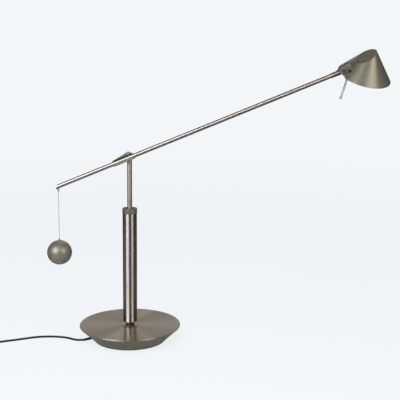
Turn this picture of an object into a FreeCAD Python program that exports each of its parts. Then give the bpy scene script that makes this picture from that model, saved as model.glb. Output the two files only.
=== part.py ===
"""Counterweight balance desk lamp, in millimetres.

The origin is the centre of the base on the surface it rests on. Z is up, X runs under the arm
towards the shade and the front of the lamp faces -Y.
"""

import FreeCAD, Part
import math
import os
import re
import Sketcher
from FreeCAD import Placement, Rotation, Vector

SIZES = {
    # base
    "base_radius": 125.0,
    "base_height": 37.4,
    "disc_thickness": 2.0,
    "disc_bevel": 0.5,
    "disc_overhang": 0.6,
    "cone_foot_radius": 89.4,
    "foot_height": 1.5,
    "foot_width": 8.0,
    "foot_inset": 0.9,
    "plate_clearance": 0.5,
    "shell_wall": 1.2,
    "shell_lip": 9.0,
    "shell_flange": 15.0,
    "plate_thickness": 3.0,
    "plate_screw_radius": 1.5,
    "plate_screw_head": 2.5,
    "plate_screw_head_height": 1.1,
    "plate_screw_edge": 2.8,
    "ballast_inset": 2.0,
    "ballast_gap": 8.0,
    "pad_thickness": 1.3,
    "transformer_outer": 42.0,
    "transformer_hole": 12.0,
    "base_room": 3.3,
    "transformer_round": 6.0,
    "clamp_radius": 24.0,
    "clamp_thickness": 1.5,
    "clamp_dish": 2.0,
    "thin_nut_height": 3.6,
    "thin_nut_flats": 17.0,
    "block_length": 30.0,
    "block_width": 11.0,
    "block_height": 10.0,
    "block_room": 5.7,
    "block_hole": 1.6,
    "block_well": 2.0,
    "block_well_depth": 4.5,
    "block_hole_pitch": 9.0,
    # tie tube, neck and column
    "tie_radius": 5.0,
    "tie_bore": 3.6,
    "tie_flange_radius": 11.0,
    "tie_flange_thickness": 1.3,
    "tie_overlap": 21.0,
    "neck_radius": 10.0,
    "neck_height": 8.8,
    "column_radius": 17.45,
    "column_wall": 1.25,
    "column_height": 273.1,
    "column_plug_length": 24.0,
    "seat_gap": 0.05,
    "running_gap": 0.05,
    "turning_gap": 0.3,
    # collar and the bush that turns in it
    "collar_step": 0.55,
    "collar_height": 12.9,
    "collar_bevel": 0.4,
    "spigot_length": 14.0,
    "sleeve_wall": 1.95,
    "bush_wall": 2.9,
    "bush_flange_step": 1.95,
    "bush_flange_height": 1.8,
    "bush_recess": 0.2,
    "bush_lip": 1.5,
    "bush_nut_wall": 3.0,
    "bush_nut_height": 4.0,
    # stem
    "stem_radius": 6.0,
    "stem_wall": 1.0,
    "stem_inside": 120.0,
    "guide_height": 8.0,
    "guide_gap": 0.1,
    "pivot_rise": 134.3,
    "pivot_offset": 2.9,
    "head_drop": 11.5,
    "head_cap_step": 0.8,
    "head_cap_height": 3.0,
    "head_spigot_length": 12.0,
    "tongue_radius": 4.5,
    "tongue_left": 5.5,
    "tongue_right": 4.5,
    "tongue_back": 4.0,
    "stem_lead_radius": 1.8,
    "lead_depth": 8.0,
    # pivot
    "pivot_bolt_radius": 2.0,
    "pivot_washer_radius": 5.5,
    "pivot_washer_thickness": 1.0,
    "cap_radius": 4.4,
    "cap_rim": 1.0,
    "cap_height": 4.6,
    "cap_depth": 2.5,
    "spring_washer_radius": 3.8,
    "spring_washer_thickness": 1.1,
    "pivot_nut_flats": 7.0,
    "pivot_nut_height": 3.2,
    "bolt_tip": 0.8,
    # rocker cradle
    "rocker_wall": 1.5,
    "rocker_rear": 42.7,
    "rocker_front": 12.4,
    "rocker_gap": 0.1,
    "rocker_bend": 2.6,
    "ear_radius": 4.4,
    "ear_slope": 9.4,
    "ear_base": 2.0,
    # arm
    "arm_angle": 22.7,
    "arm_radius": 5.15,
    "arm_wall": 0.9,
    "arm_rear": 190.1,
    "arm_front": 522.0,
    "mitre_angle": 37.6,
    "arm_plug_length": 20.0,
    "arm_plug_recess": 1.0,
    "lug_inset": 1.0,
    "lug_stand": 2.05,
    "lug_radius": 2.4,
    "lug_hole": 1.1,
    "lug_thickness": 1.4,
    "lug_slot_gap": 0.05,
    "arm_spigot_inside": 20.0,
    "arm_spigot_outside": 9.0,
    "spigot_step": 0.25,
    "groove_depth": 0.9,
    "groove_width": 2.4,
    "groove_place": 5.0,
    "neck_collar_step": 0.85,
    "neck_collar_length": 6.8,
    "arm_lead_radius": 1.4,
    # counterweight
    "link_radius": 2.6,
    "link_wire": 0.5,
    "loop_radius": 1.6,
    "wire_radius": 0.5,
    "ball_radius": 30.1,
    "ball_drop": 155.6,
    "ferrule_radius": 2.2,
    "ferrule_showing": 5.0,
    "ferrule_depth": 12.0,
    # head hinge
    "head_roll": 29.2,
    "head_tilt": 30.8,
    "hinge_lift": 3.5,
    "cheek_radius": 10.5,
    "cheek_thickness": 2.2,
    "knuckle_radius": 9.5,
    "knuckle_thickness": 6.0,
    "link_reach": 17.5,
    "link_end": 4.5,
    "tongue_tail": 5.5,
    "tongue_web": 5.0,
    "hinge_screw_radius": 2.5,
    "hinge_head_radius": 4.2,
    "hinge_head_height": 1.4,
    "hinge_socket_radius": 1.6,
    "hinge_socket_depth": 2.6,
    "hinge_nut_flats": 8.0,
    "hinge_nut_height": 3.0,
    "grub_radius": 1.0,
    # shade
    "rim_radius": 64.2,
    "cone_half_angle": 39.4,
    "shade_wall": 1.0,
    "hinge_inset": 6.3,
    "hinge_up": 9.6,
    "cut_near": 36.0,
    "cut_far": 9.5,
    "cut_turn": 12.0,
    "slot_radius": 17.5,
    "slot_side": 5.0,
    "slot_centre": 7.4,
    "cover_thickness": 1.0,
    "cover_recess": 0.2,
    "cover_gap": 0.1,
    "shade_screw_place": 5.8,
    "shade_screw_radius": 1.2,
    "shade_screw_head": 1.9,
    "shade_screw_height": 1.2,
    "post_radius": 2.6,
    # reflector
    "reflector_wall": 0.8,
    "reflector_low": 1.2,
    "reflector_gap": 0.15,
    "dish_step": 14.2,
    "dish_hole_step": 6.0,
    "dish_room": 7.0,
    "dish_notch_step": 2.5,
    "dish_side_gap": 0.6,
    # lamp holder, capsule and handle
    "bracket_width": 9.0,
    "holder_half": 8.0,
    "holder_depth": 7.0,
    "holder_height": 16.0,
    "holder_room": 5.2,
    "capsule_radius": 5.5,
    "capsule_length": 27.0,
    "pinch_height": 4.0,
    "pinch_radius": 4.0,
    "pin_radius": 0.6,
    "pin_pitch": 6.4,
    "pin_depth": 8.0,
    "handle_step": 17.6,
    "handle_radius": 2.9,
    "handle_top": 17.6,
    "handle_length": 61.0,
    "handle_stub": 4.0,
    "handle_stub_radius": 1.8,
    "tip_radius": 3.1,
    "tip_length": 6.5,
    "tip_round": 1.2,
    # cord
    "cord_radius": 2.6,
    "gland_azimuth": 193.0,
    "gland_droop": 11.0,
    "gland_neck": 3.5,
    "gland_clearance": 0.25,
    "gland_skin": 0.3,
    "gland_flange_step": 0.7,
    "floor_gap": 0.1,
    "gland_inside": 10.0,
    "gland_flange_length": 2.0,
    "gland_tail": 21.0,
    "coil_turn_radius": 28.6,
    "coil_inner": 23.0,
    "coil_outer": 34.2,
    "coil_height": 27.0,
    "coil_round": 2.5,
    "coil_turns": 8.3,
    "coil_entry": 16.5,
    "plug_width": 34.0,
    "plug_waist": 20.0,
    "plug_length": 34.0,
    "plug_thickness": 14.0,
    "plug_round": 3.0,
    "plug_relief": 20.0,
    "plug_relief_radius": 3.6,
    "plug_pin_radius": 2.0,
    "plug_pin_length": 19.0,
    "plug_pin_pitch": 18.6,
    "plug_pin_depth": 4.0,
}

FORMULAS = {
    "disc_bottom": "base_height - disc_thickness",
    "cone_top_radius": "base_radius - disc_overhang",
    "cone_slope": "(cone_top_radius - cone_foot_radius) / (disc_bottom - foot_height)",
    "shell_across": "shell_wall * sqrt(1 + cone_slope * cone_slope)",
    "plate_bottom": "foot_height + shell_wall",
    "plate_radius": "cone_foot_radius - foot_inset - foot_width - plate_clearance",
    "plate_screw_circle": "plate_radius - plate_screw_edge",
    "plate_top": "plate_bottom + plate_thickness",
    "ballast_outer": "plate_radius - ballast_inset",
    "ballast_inner": "transformer_outer + ballast_gap",
    "ballast_height": "disc_bottom - plate_top - block_height - block_room",
    "ballast_top": "plate_top + ballast_height",
    "block_distance": "(ballast_inner + ballast_outer) / 2",
    "transformer_bottom": "plate_top + pad_thickness",
    "clamp_top": "disc_bottom - base_room - thin_nut_height + clamp_dish",
    "transformer_top": "clamp_top - clamp_thickness",
    "column_bottom": "base_height + neck_height",
    "column_top": "column_bottom + column_height",
    "column_bore": "column_radius - column_wall",
    "collar_radius": "column_radius + collar_step",
    "collar_top": "column_top + collar_height",
    "spigot_bottom": "column_top - spigot_length",
    "stem_gap_radius": "stem_radius + running_gap",
    "sleeve_radius": "stem_gap_radius + sleeve_wall",
    "bush_bore": "sleeve_radius + seat_gap",
    "bush_radius": "bush_bore + bush_wall",
    "bush_flange_radius": "bush_radius + bush_flange_step",
    "bush_nut_radius": "bush_radius + seat_gap + bush_nut_wall",
    "collar_bore": "bush_radius + running_gap",
    "bush_top": "collar_top - bush_recess",
    "bush_flange_bottom": "bush_top - bush_flange_height",
    "bush_nut_top": "spigot_bottom - turning_gap",
    "bush_bottom": "bush_nut_top - bush_nut_height",
    "stem_bore": "stem_radius - stem_wall",
    "head_cap_radius": "stem_radius + head_cap_step",
    "tongue_front": "stem_radius",
    "stem_bottom": "collar_top - stem_inside",
    "pivot_height": "collar_top + pivot_rise",
    "stem_top": "pivot_height - head_drop",
    "head_cap_top": "stem_top + head_cap_height",
    "ear_back": "tongue_front + pivot_washer_thickness + turning_gap",
    "ear_front": "ear_back + rocker_wall",
    "cap_back": "ear_front + turning_gap",
    "arm_plane": "ear_front + seat_gap + arm_radius",
    "arm_drop": "arm_radius + cap_radius - 2 * seat_gap",
    "lug_reach": "arm_rear - lug_inset",
    "lug_drop": "arm_radius + lug_stand",
    "arm_bore": "arm_radius - arm_wall",
    "rocker_floor": "arm_drop + arm_radius + rocker_gap",
    "rocker_bottom": "rocker_floor + rocker_wall",
    "rocker_front_face": "arm_plane + arm_radius + rocker_gap",
    "arm_top": "arm_drop - arm_radius",
    "spigot_end": "arm_front + arm_spigot_outside",
    "spigot_radius": "arm_radius - spigot_step",
    "groove_radius": "spigot_radius - groove_depth",
    "neck_collar_radius": "arm_radius + neck_collar_step",
    "tongue_bore": "spigot_radius + running_gap",
    "cheeks_half": "knuckle_thickness / 2 + turning_gap + cheek_thickness",
    "cheek_gap_half": "knuckle_thickness / 2 + turning_gap",
    "tongue_root": "knuckle_radius + 5 * turning_gap",
    "hinge_reach": "spigot_end + turning_gap + tongue_web + tongue_root",
    "tongue_start": "hinge_reach - arm_front - turning_gap",
    "tongue_bore_end": "hinge_reach - spigot_end - turning_gap",
    "hinge_bore": "hinge_screw_radius + running_gap",
    "shade_height": "rim_radius / tan(cone_half_angle)",
    "shade_across": "shade_wall / cos(cone_half_angle)",
    "hinge_in": "rim_radius - hinge_inset",
    "near_x": "-cut_near",
    "near_z": "(rim_radius - cut_near) / tan(cone_half_angle)",
    "far_x": "cut_far",
    "far_z": "(rim_radius - cut_far) / tan(cone_half_angle)",
    "cut_angle": "atan2(far_z - near_z; far_x - near_x)",
    "cover_under": "cover_thickness + cover_recess",
    "cover_over_holder": "near_z + (cut_near - holder_half) * tan(cut_angle)",
    "holder_high": "cover_over_holder - cover_under / cos(cut_angle) - holder_room",
    "holder_low": "holder_high - holder_height",
    "capsule_low": "holder_low - capsule_length",
    "holder_middle": "(holder_low + holder_high) / 2",
    "dish_radius": "rim_radius - dish_step",
    "dish_hole": "holder_half + dish_hole_step",
    "dish_top": "holder_low - dish_room",
    "reflector_edge": "rim_radius - shade_across - reflector_gap",
    "bracket_angle": "atan2(holder_middle - hinge_up; hinge_in - holder_half)",
    "capsule_top": "holder_low - pinch_height",
    "handle_in": "hinge_in - handle_step",
    "handle_hole": "handle_radius + seat_gap",
    "gland_hole": "gland_neck + gland_clearance",
    "gland_flange": "gland_neck + gland_flange_step",
    "gland_end": "cord_radius + gland_skin",
    "gland_height": "gland_end + gland_tail * sin(gland_droop) + floor_gap",
    "gland_radius": "cone_foot_radius + (gland_height - foot_height) * cone_slope",
    "plug_middle": "plug_thickness / 2",
}

# The free cord's route over the surface it lies on, from the gland's end to the coil, and from the
# coil to the plug. The first and last points of each stretch follow from the pieces they meet.
CORD_ROUTE = [
    (-127.0, -26.8, 2.65),
    (-139.0, -22.2, 2.62),
    (-151.0, -13.6, 2.6),
    (-168.0, -6.5, 2.6),
    (-190.0, -3.0, 2.6),
    (-214.0, -3.9, 2.6),
    (-238.0, -9.2, 2.6),
    (-262.0, -21.6, 2.6),
    (-286.0, -32.9, 2.6),
    (-313.0, -44.5, 2.6),
]
COIL_CENTRE = (-362.6, -33.4)
COIL_ARRIVAL = 201.7
TAIL_ROUTE = [
    (-391.4, -1.5, 2.8),
    (-389.6, 14.0, 3.9),
    (-387.0, 29.5, 5.8),
]
PLUG_START = (-386.0, 45.0)

doc = FreeCAD.newDocument("BalanceLamp")
sheet = doc.addObject("Spreadsheet::Sheet", "Sizes")
parts = []


def with_sheet(words):
    """The expression with every size's name pointing at the sheet."""
    known = set(SIZES) | set(FORMULAS)

    def point(found):
        word = found.group()
        return "Sizes." + word if word in known else word

    return re.sub(r"[a-z_][a-z_0-9]*", point, words)


def fill_sheet():
    row = 0
    for name, number in SIZES.items():
        row += 1
        sheet.set("A%d" % row, name)
        sheet.set("B%d" % row, str(number))
        sheet.setAlias("B%d" % row, name)
    for name, formula in FORMULAS.items():
        row += 1
        sheet.set("A%d" % row, name)
        sheet.set("B%d" % row, "=" + formula)
        sheet.setAlias("B%d" % row, name)
    doc.recompute()


def size(name):
    return float(sheet.get(name))


def bind(thing, prop, words):
    thing.setExpression(prop, with_sheet(words))


def plane(body, role):
    return next(item for item in body.Origin.OriginFeatures if item.Role == role)


def new_body(name):
    body = doc.addObject("PartDesign::Body", name)
    body.Label = name
    parts.append(body)
    return body


def new_sketch(body, role, shift=None):
    sketch = body.newObject("Sketcher::SketchObject", body.Name + "_sketch")
    sketch.AttachmentSupport = [(plane(body, role), "")]
    sketch.MapMode = "FlatFace"
    if shift:
        bind(sketch, "AttachmentOffset.Base.z", shift)
    return sketch


def place_point(sketch, geometry, end, across, up):
    for kind, words in (("DistanceX", across), ("DistanceY", up)):
        number = sketch.addConstraint(Sketcher.Constraint(kind, -1, 1, geometry, end, 1.0))
        bind(sketch, "Constraints[%d]" % number, words)


def outline(sketch, corners):
    """A closed outline of straight sides. Each corner is a pair of expressions."""
    count = len(corners)
    start = sketch.GeometryCount
    ring = []
    for index in range(count):
        turn = 2 * math.pi * index / count
        ring.append(Vector(10 * math.cos(turn), 10 * math.sin(turn), 0))
    for index in range(count):
        sketch.addGeometry(Part.LineSegment(ring[index], ring[(index + 1) % count]))
    for index in range(count):
        following = start + (index + 1) % count
        sketch.addConstraint(Sketcher.Constraint("Coincident", start + index, 2, following, 1))
    for index, (across, up) in enumerate(corners):
        place_point(sketch, start + index, 1, across, up)


def circle(sketch, across, up, radius):
    number = sketch.addGeometry(Part.Circle(Vector(1, 1, 0), Vector(0, 0, 1), 1))
    place_point(sketch, number, 3, across, up)
    mark = sketch.addConstraint(Sketcher.Constraint("Radius", number, 1.0))
    bind(sketch, "Constraints[%d]" % mark, radius)


def revolve(body, sketch, axis="V_Axis"):
    feature = body.newObject("PartDesign::Revolution", body.Name + "_turn")
    feature.Profile = sketch
    feature.ReferenceAxis = (sketch, [axis])
    feature.Angle = 360
    return feature


def pad(body, sketch, length, both=False, back=False):
    feature = body.newObject("PartDesign::Pad", body.Name + "_pad")
    feature.Profile = sketch
    bind(feature, "Length", length)
    feature.SideType = "Symmetric" if both else "One side"
    feature.Reversed = back
    return feature


def pocket(body, sketch, length=None, both=False, back=False):
    feature = body.newObject("PartDesign::Pocket", body.Name + "_pocket")
    feature.Profile = sketch
    if length:
        bind(feature, "Length", length)
    else:
        feature.Type = "ThroughAll"
    feature.SideType = "Symmetric" if both else "One side"
    feature.Reversed = back
    return feature


def check_cut(body, before):
    """A pocket that misses its body takes nothing away."""
    doc.recompute()
    if body.Shape.Volume > before - 0.05:
        raise RuntimeError("a cut took nothing from " + body.Label)


def cut(body, sketch, length=None, both=False, back=False):
    doc.recompute()
    before = body.Shape.Volume
    feature = pocket(body, sketch, length, both, back)
    check_cut(body, before)
    return feature


def round_edges(body, feature, wanted, radius):
    doc.recompute()
    names = []
    for number, edge in enumerate(feature.Shape.Edges, 1):
        if wanted(edge):
            names.append("Edge%d" % number)
    fillet = body.newObject("PartDesign::Fillet", body.Name + "_fillet")
    fillet.Base = (feature, names)
    bind(fillet, "Radius", radius)
    doc.recompute()
    return fillet


def turned(name, corners, axis="V_Axis", frame=None):
    """A piece made on a lathe: corners are (radius, height), or (place, radius) about the H axis."""
    body = new_body(name)
    sketch = new_sketch(body, "XZ_Plane")
    outline(sketch, corners)
    revolve(body, sketch, axis)
    if frame:
        body.Placement = frame
    return body


def ring_corners(inner, outer, low, high):
    return [(inner, low), (outer, low), (outer, high), (inner, high)]


def hexagon(sketch, radius):
    """A hexagon about the origin, radius being half the width across its corners."""
    corners = []
    for index in range(6):
        turn = str(60 * index)
        corners.append(("(%s) * cos(%s)" % (radius, turn), "(%s) * sin(%s)" % (radius, turn)))
    outline(sketch, corners)


def hex_nut(name, flats, bore, low, high, frame=None):
    body = new_body(name)
    sketch = new_sketch(body, "XY_Plane", low)
    hexagon(sketch, flats + " / sqrt(3)")
    pad(body, sketch, "(%s) - (%s)" % (high, low))
    opening = new_sketch(body, "XY_Plane", low)
    circle(opening, "0", "0", bore)
    cut(body, opening, back=True)
    if frame:
        body.Placement = frame
    return body


# Frames ------------------------------------------------------------------------------------


def turn(axis, degrees):
    return Rotation(Vector(*axis), degrees)


def arm_frame():
    """X along the arm, Z square to it, origin on the pivot's axis."""
    place = Vector(-size("pivot_offset"), 0, size("pivot_height"))
    return Placement(place, turn((0, 1, 0), -size("arm_angle")))


def tube_frame():
    return arm_frame() * Placement(Vector(0, -size("arm_plane"), -size("arm_drop")), Rotation())


def tongue_frame():
    """Origin on the arm's axis under the head's hinge, X along the arm, Y along the hinge's screw."""
    return tube_frame() * Placement(
        Vector(size("hinge_reach"), 0, 0), turn((1, 0, 0), size("head_roll"))
    )


def hinge_frame():
    """The same frame, moved to the middle of the hinge."""
    return tongue_frame() * Placement(Vector(0, 0, size("hinge_lift")), Rotation())


def head_frame():
    """Origin at the middle of the shade's rim, Z along the shade's axis."""
    tilted = hinge_frame() * Placement(Vector(0, 0, 0), turn((0, 1, 0), size("head_tilt")))
    return tilted * Placement(Vector(size("hinge_in"), 0, -size("hinge_up")), Rotation())


def cut_frame():
    """The head's frame, turned so that the slanting cut rises along X."""
    return head_frame() * Placement(Vector(0, 0, 0), turn((0, 0, 1), size("cut_turn")))


def lug_point():
    place = Vector(-size("lug_reach"), 0, -size("lug_drop"))
    return tube_frame().multVec(place)


def across_y(place):
    """Local Z turned to run towards the front, -Y."""
    return Placement(place, turn((1, 0, 0), 90))


# Base --------------------------------------------------------------------------------------


def make_top_disc():
    turned(
        "top_disc",
        [
            ("tie_radius + running_gap", "disc_bottom"),
            ("base_radius", "disc_bottom"),
            ("base_radius", "base_height - disc_bevel"),
            ("base_radius - disc_bevel", "base_height"),
            ("tie_radius + running_gap", "base_height"),
        ],
    )


def make_cone_shell():
    """Spun shell with a lip under the disc, a flange at the foot and the hole for the gland."""
    lip = "cone_top_radius - shell_lip"
    flange = "cone_foot_radius - shell_flange"
    body = turned(
        "cone_shell",
        [
            ("cone_foot_radius", "foot_height"),
            ("cone_top_radius", "disc_bottom"),
            (lip, "disc_bottom"),
            (lip, "disc_bottom - shell_wall"),
            ("cone_top_radius - shell_wall * cone_slope - shell_across", "disc_bottom - shell_wall"),
            ("cone_foot_radius + shell_wall * cone_slope - shell_across", "plate_bottom"),
            (flange, "plate_bottom"),
            (flange, "foot_height"),
        ],
    )
    opening = new_sketch(body, "YZ_Plane")
    circle(opening, "0", "gland_height", "gland_hole")
    cut(body, opening)
    for hole in screw_sketches(body, "plate_screw_radius + seat_gap"):
        cut(body, hole, "plate_bottom * 2", back=True)
    body.Placement = Placement(Vector(0, 0, 0), turn((0, 0, 1), size("gland_azimuth") - 180))


def screw_sketches(body, radius):
    """One sketch with the four holes of the base's screws."""
    sketch = new_sketch(body, "XY_Plane")
    for index in range(4):
        angle = str(45 + 90 * index)
        across = "plate_screw_circle * cos(%s)" % angle
        up = "plate_screw_circle * sin(%s)" % angle
        circle(sketch, across, up, radius)
    return [sketch]


def make_foot_ring():
    outer = "cone_foot_radius - foot_inset"
    turned("foot_ring", ring_corners(outer + " - foot_width", outer, "0", "foot_height"))


def make_base_plate():
    body = turned(
        "base_plate",
        ring_corners("tie_radius + running_gap", "plate_radius", "plate_bottom", "plate_top"),
    )
    for hole in screw_sketches(body, "plate_screw_radius + seat_gap"):
        cut(body, hole, "plate_top * 2", back=True)
    body.Placement = Placement(Vector(0, 0, 0), turn((0, 0, 1), size("gland_azimuth") - 180))


def make_plate_screws():
    """Four pan-head screws that hold the base plate on the shell's flange."""
    body = new_body("plate_screws")
    heads = new_sketch(body, "XY_Plane", "foot_height - plate_screw_head_height")
    shanks = new_sketch(body, "XY_Plane", "foot_height")
    for index in range(4):
        angle = str(45 + 90 * index)
        across = "plate_screw_circle * cos(%s)" % angle
        up = "plate_screw_circle * sin(%s)" % angle
        circle(heads, across, up, "plate_screw_head")
        circle(shanks, across, up, "plate_screw_radius")
    body.AllowCompound = True
    pad(body, heads, "plate_screw_head_height")
    pad(body, shanks, "plate_top - foot_height")
    body.Placement = Placement(Vector(0, 0, 0), turn((0, 0, 1), size("gland_azimuth") - 180))


def make_ballast_ring():
    body = turned(
        "ballast_ring", ring_corners("ballast_inner", "ballast_outer", "plate_top", "ballast_top")
    )
    round_edges(body, body.Tip, lambda edge: edge.BoundBox.ZMin > size("plate_top"), "disc_bevel")


def make_transformer():
    corners = ring_corners(
        "transformer_hole", "transformer_outer", "transformer_bottom", "transformer_top"
    )
    body = turned("transformer", corners)
    round_edges(body, body.Tip, lambda edge: edge.Closed, "transformer_round")


def make_transformer_pad():
    inner = "tie_radius + pad_thickness"
    outer = "transformer_outer - transformer_round"
    turned("transformer_pad", ring_corners(inner, outer, "plate_top", "transformer_bottom"))


def make_clamp_washer():
    """Dished washer that presses the transformer down, its middle sunk into the winding's hole."""
    bend = "transformer_hole + clamp_dish + 0.4 * transformer_round"
    turned(
        "clamp_washer",
        [
            ("tie_radius + seat_gap", "transformer_top - clamp_dish"),
            ("transformer_hole - seat_gap", "transformer_top - clamp_dish"),
            (bend, "transformer_top"),
            ("clamp_radius", "transformer_top"),
            ("clamp_radius", "clamp_top"),
            (bend, "clamp_top"),
            ("transformer_hole - seat_gap", "clamp_top - clamp_dish"),
            ("tie_radius + seat_gap", "clamp_top - clamp_dish"),
        ],
    )


def make_terminal_block():
    body = new_body("terminal_block")
    base = new_sketch(body, "XY_Plane", "ballast_top")
    near = "-block_distance + block_width / 2"
    far = "-block_distance - block_width / 2"
    outline(
        base,
        [
            (far, "-block_length / 2"),
            (near, "-block_length / 2"),
            (near, "block_length / 2"),
            (far, "block_length / 2"),
        ],
    )
    pad(body, base, "block_height")
    wells = new_sketch(body, "XY_Plane", "ballast_top + block_height")
    bores = new_sketch(body, "YZ_Plane")
    for index in (-1, 0, 1):
        place = "%d * block_hole_pitch" % index
        circle(wells, "-block_distance", place, "block_well")
        circle(bores, place, "ballast_top + block_height / 2", "block_hole")
    cut(body, wells, "block_well_depth")
    cut(body, bores)
    body.Placement = Placement(Vector(0, 0, 0), turn((0, 0, 1), size("gland_azimuth") - 180))


def make_tie_tube():
    """Threaded tube that clamps plate, transformer, disc and column; the leads run through it."""
    under = "plate_bottom - tie_flange_thickness"
    top = "column_bottom + tie_overlap"
    turned(
        "tie_tube",
        [
            ("tie_bore", under),
            ("tie_flange_radius", under),
            ("tie_flange_radius", "plate_bottom"),
            ("tie_radius", "plate_bottom"),
            ("tie_radius", top),
            ("tie_bore", top),
        ],
    )


def make_neck_spacer():
    inner = "tie_radius + seat_gap"
    turned("neck_spacer", ring_corners(inner, "neck_radius", "base_height", "column_bottom"))


# Column ------------------------------------------------------------------------------------


def make_column_tube():
    corners = ring_corners("column_bore", "column_radius", "column_bottom", "column_top")
    turned("column_tube", corners)


def make_column_plug():
    top = "column_bottom + column_plug_length"
    outer = "column_bore - seat_gap"
    turned("column_plug", ring_corners("tie_radius + seat_gap", outer, "column_bottom", top))


def make_collar():
    """Painted collar with a spigot in the tube and a recess for the bush's flange."""
    recess = "bush_flange_radius + turning_gap"
    recess_floor = "bush_flange_bottom - turning_gap"
    turned(
        "collar",
        [
            ("collar_bore", "spigot_bottom"),
            ("column_bore - seat_gap", "spigot_bottom"),
            ("column_bore - seat_gap", "column_top"),
            ("collar_radius", "column_top"),
            ("collar_radius", "collar_top - collar_bevel"),
            ("collar_radius - collar_bevel", "collar_top"),
            (recess, "collar_top"),
            (recess, recess_floor),
            ("collar_bore", recess_floor),
        ],
    )


def make_guide_bush():
    turned(
        "guide_bush",
        [
            ("bush_bore", "bush_bottom"),
            ("bush_radius", "bush_bottom"),
            ("bush_radius", "bush_flange_bottom"),
            ("bush_flange_radius", "bush_flange_bottom"),
            ("bush_flange_radius", "bush_top"),
            ("stem_gap_radius", "bush_top"),
            ("stem_gap_radius", "bush_top - bush_lip"),
            ("bush_bore", "bush_top - bush_lip"),
        ],
    )


def make_bush_nut():
    inner = "bush_radius + seat_gap"
    corners = ring_corners(inner, "bush_nut_radius", "bush_bottom", "bush_nut_top")
    turned("bush_nut", corners)


def make_friction_sleeve():
    top = "bush_top - bush_lip - seat_gap"
    corners = ring_corners("stem_gap_radius", "sleeve_radius", "bush_bottom", top)
    turned("friction_sleeve", corners)


# Stem --------------------------------------------------------------------------------------


def make_stem_tube():
    turned("stem_tube", ring_corners("stem_bore", "stem_radius", "stem_bottom", "stem_top"))


def make_stem_guide():
    """Nylon guide that keeps the stem's lower end in the middle of the column."""
    top = "stem_bottom + guide_height"
    outer = "column_bore - guide_gap"
    turned("stem_guide", ring_corners("stem_radius + seat_gap", outer, "stem_bottom", top))


def make_stem_head():
    """Spigot, cap and the flat tongue that the pivot's bolt goes through."""
    body = turned(
        "stem_head",
        [
            ("0", "stem_top - head_spigot_length"),
            ("stem_bore - seat_gap", "stem_top - head_spigot_length"),
            ("stem_bore - seat_gap", "stem_top"),
            ("head_cap_radius", "stem_top"),
            ("head_cap_radius", "head_cap_top"),
            ("0", "head_cap_top"),
        ],
    )
    middle = "tongue_front - (tongue_front + tongue_back) / 2"
    depth = "tongue_front + tongue_back"
    eye = new_sketch(body, "XZ_Plane", middle)
    circle(eye, "-pivot_offset", "pivot_height", "tongue_radius")
    pad(body, eye, depth, both=True)
    web = new_sketch(body, "XZ_Plane", middle)
    outline(
        web,
        [
            ("-tongue_left", "head_cap_top - seat_gap"),
            ("tongue_right", "head_cap_top - seat_gap"),
            ("-pivot_offset + tongue_radius * cos(25)", "pivot_height + tongue_radius * sin(25)"),
            ("-pivot_offset - tongue_radius * cos(10)", "pivot_height + tongue_radius * sin(10)"),
        ],
    )
    pad(body, web, depth, both=True)
    hole = new_sketch(body, "XZ_Plane")
    circle(hole, "-pivot_offset", "pivot_height", "pivot_bolt_radius + seat_gap")
    cut(body, hole, "4 * tongue_front", both=True)
    entry = new_sketch(body, "XY_Plane", "stem_top - head_spigot_length")
    circle(entry, "0", "0", "stem_lead_radius + seat_gap")
    cut(body, entry, "lead_depth", back=True)


def make_stem_lead():
    """Two-core lead inside the stem, up into the stem's head."""
    body = new_body("stem_lead")
    sketch = new_sketch(body, "XY_Plane", "stem_bottom")
    circle(sketch, "0", "0", "stem_lead_radius")
    pad(body, sketch, "stem_top - head_spigot_length + lead_depth / 2 - stem_bottom")


# Pivot -------------------------------------------------------------------------------------


def pivot_point(forward):
    return Vector(-size("pivot_offset"), -forward, size("pivot_height"))


def pivot_turned(name, corners):
    """A piece turned about the pivot's axis. Heights run forward from the stem's own plane."""
    return turned(name, corners, frame=across_y(pivot_point(0)))


def make_pivot_bolt():
    back = "-(tongue_back + spring_washer_thickness + pivot_nut_height + bolt_tip)"
    body = pivot_turned(
        "pivot_bolt", [("0", back), ("pivot_bolt_radius", back), ("pivot_bolt_radius", "cap_back"),
                       ("0", "cap_back")]
    )
    tip = new_sketch(body, "XY_Plane", "cap_back")
    circle(tip, "0", "0", "pivot_bolt_radius")
    pad(body, tip, "cap_depth")


def make_pivot_cap():
    """Domed cap nut on the front of the pivot."""
    body = new_body("pivot_cap")
    sketch = new_sketch(body, "XY_Plane", "cap_back")
    circle(sketch, "0", "0", "cap_radius")
    block = pad(body, sketch, "cap_height")
    face = size("cap_back") + size("cap_height")
    dome = round_edges(
        body, block, lambda edge: abs(edge.BoundBox.ZMin - face) < 0.01, "cap_height - cap_rim"
    )
    bore = new_sketch(body, "XY_Plane", "cap_back")
    circle(bore, "0", "0", "pivot_bolt_radius + seat_gap")
    cut(body, bore, "cap_depth + seat_gap", back=True)
    body.Placement = across_y(pivot_point(0))
    return dome


def make_pivot_washer():
    inner = "pivot_bolt_radius + seat_gap"
    outer = "pivot_washer_radius"
    high = "tongue_front + pivot_washer_thickness"
    pivot_turned("pivot_washer", ring_corners(inner, outer, "tongue_front", high))


def make_spring_washer():
    low = "-tongue_back - spring_washer_thickness"
    inner = "pivot_bolt_radius + seat_gap"
    corners = ring_corners(inner, "spring_washer_radius", low, "-tongue_back")
    pivot_turned("spring_washer", corners)


def make_pivot_nut():
    high = "-tongue_back - spring_washer_thickness"
    low = high + " - pivot_nut_height"
    bore = "pivot_bolt_radius + seat_gap"
    hex_nut("pivot_nut", "pivot_nut_flats", bore, low, high, across_y(pivot_point(0)))


# Rocker cradle -----------------------------------------------------------------------------


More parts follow.
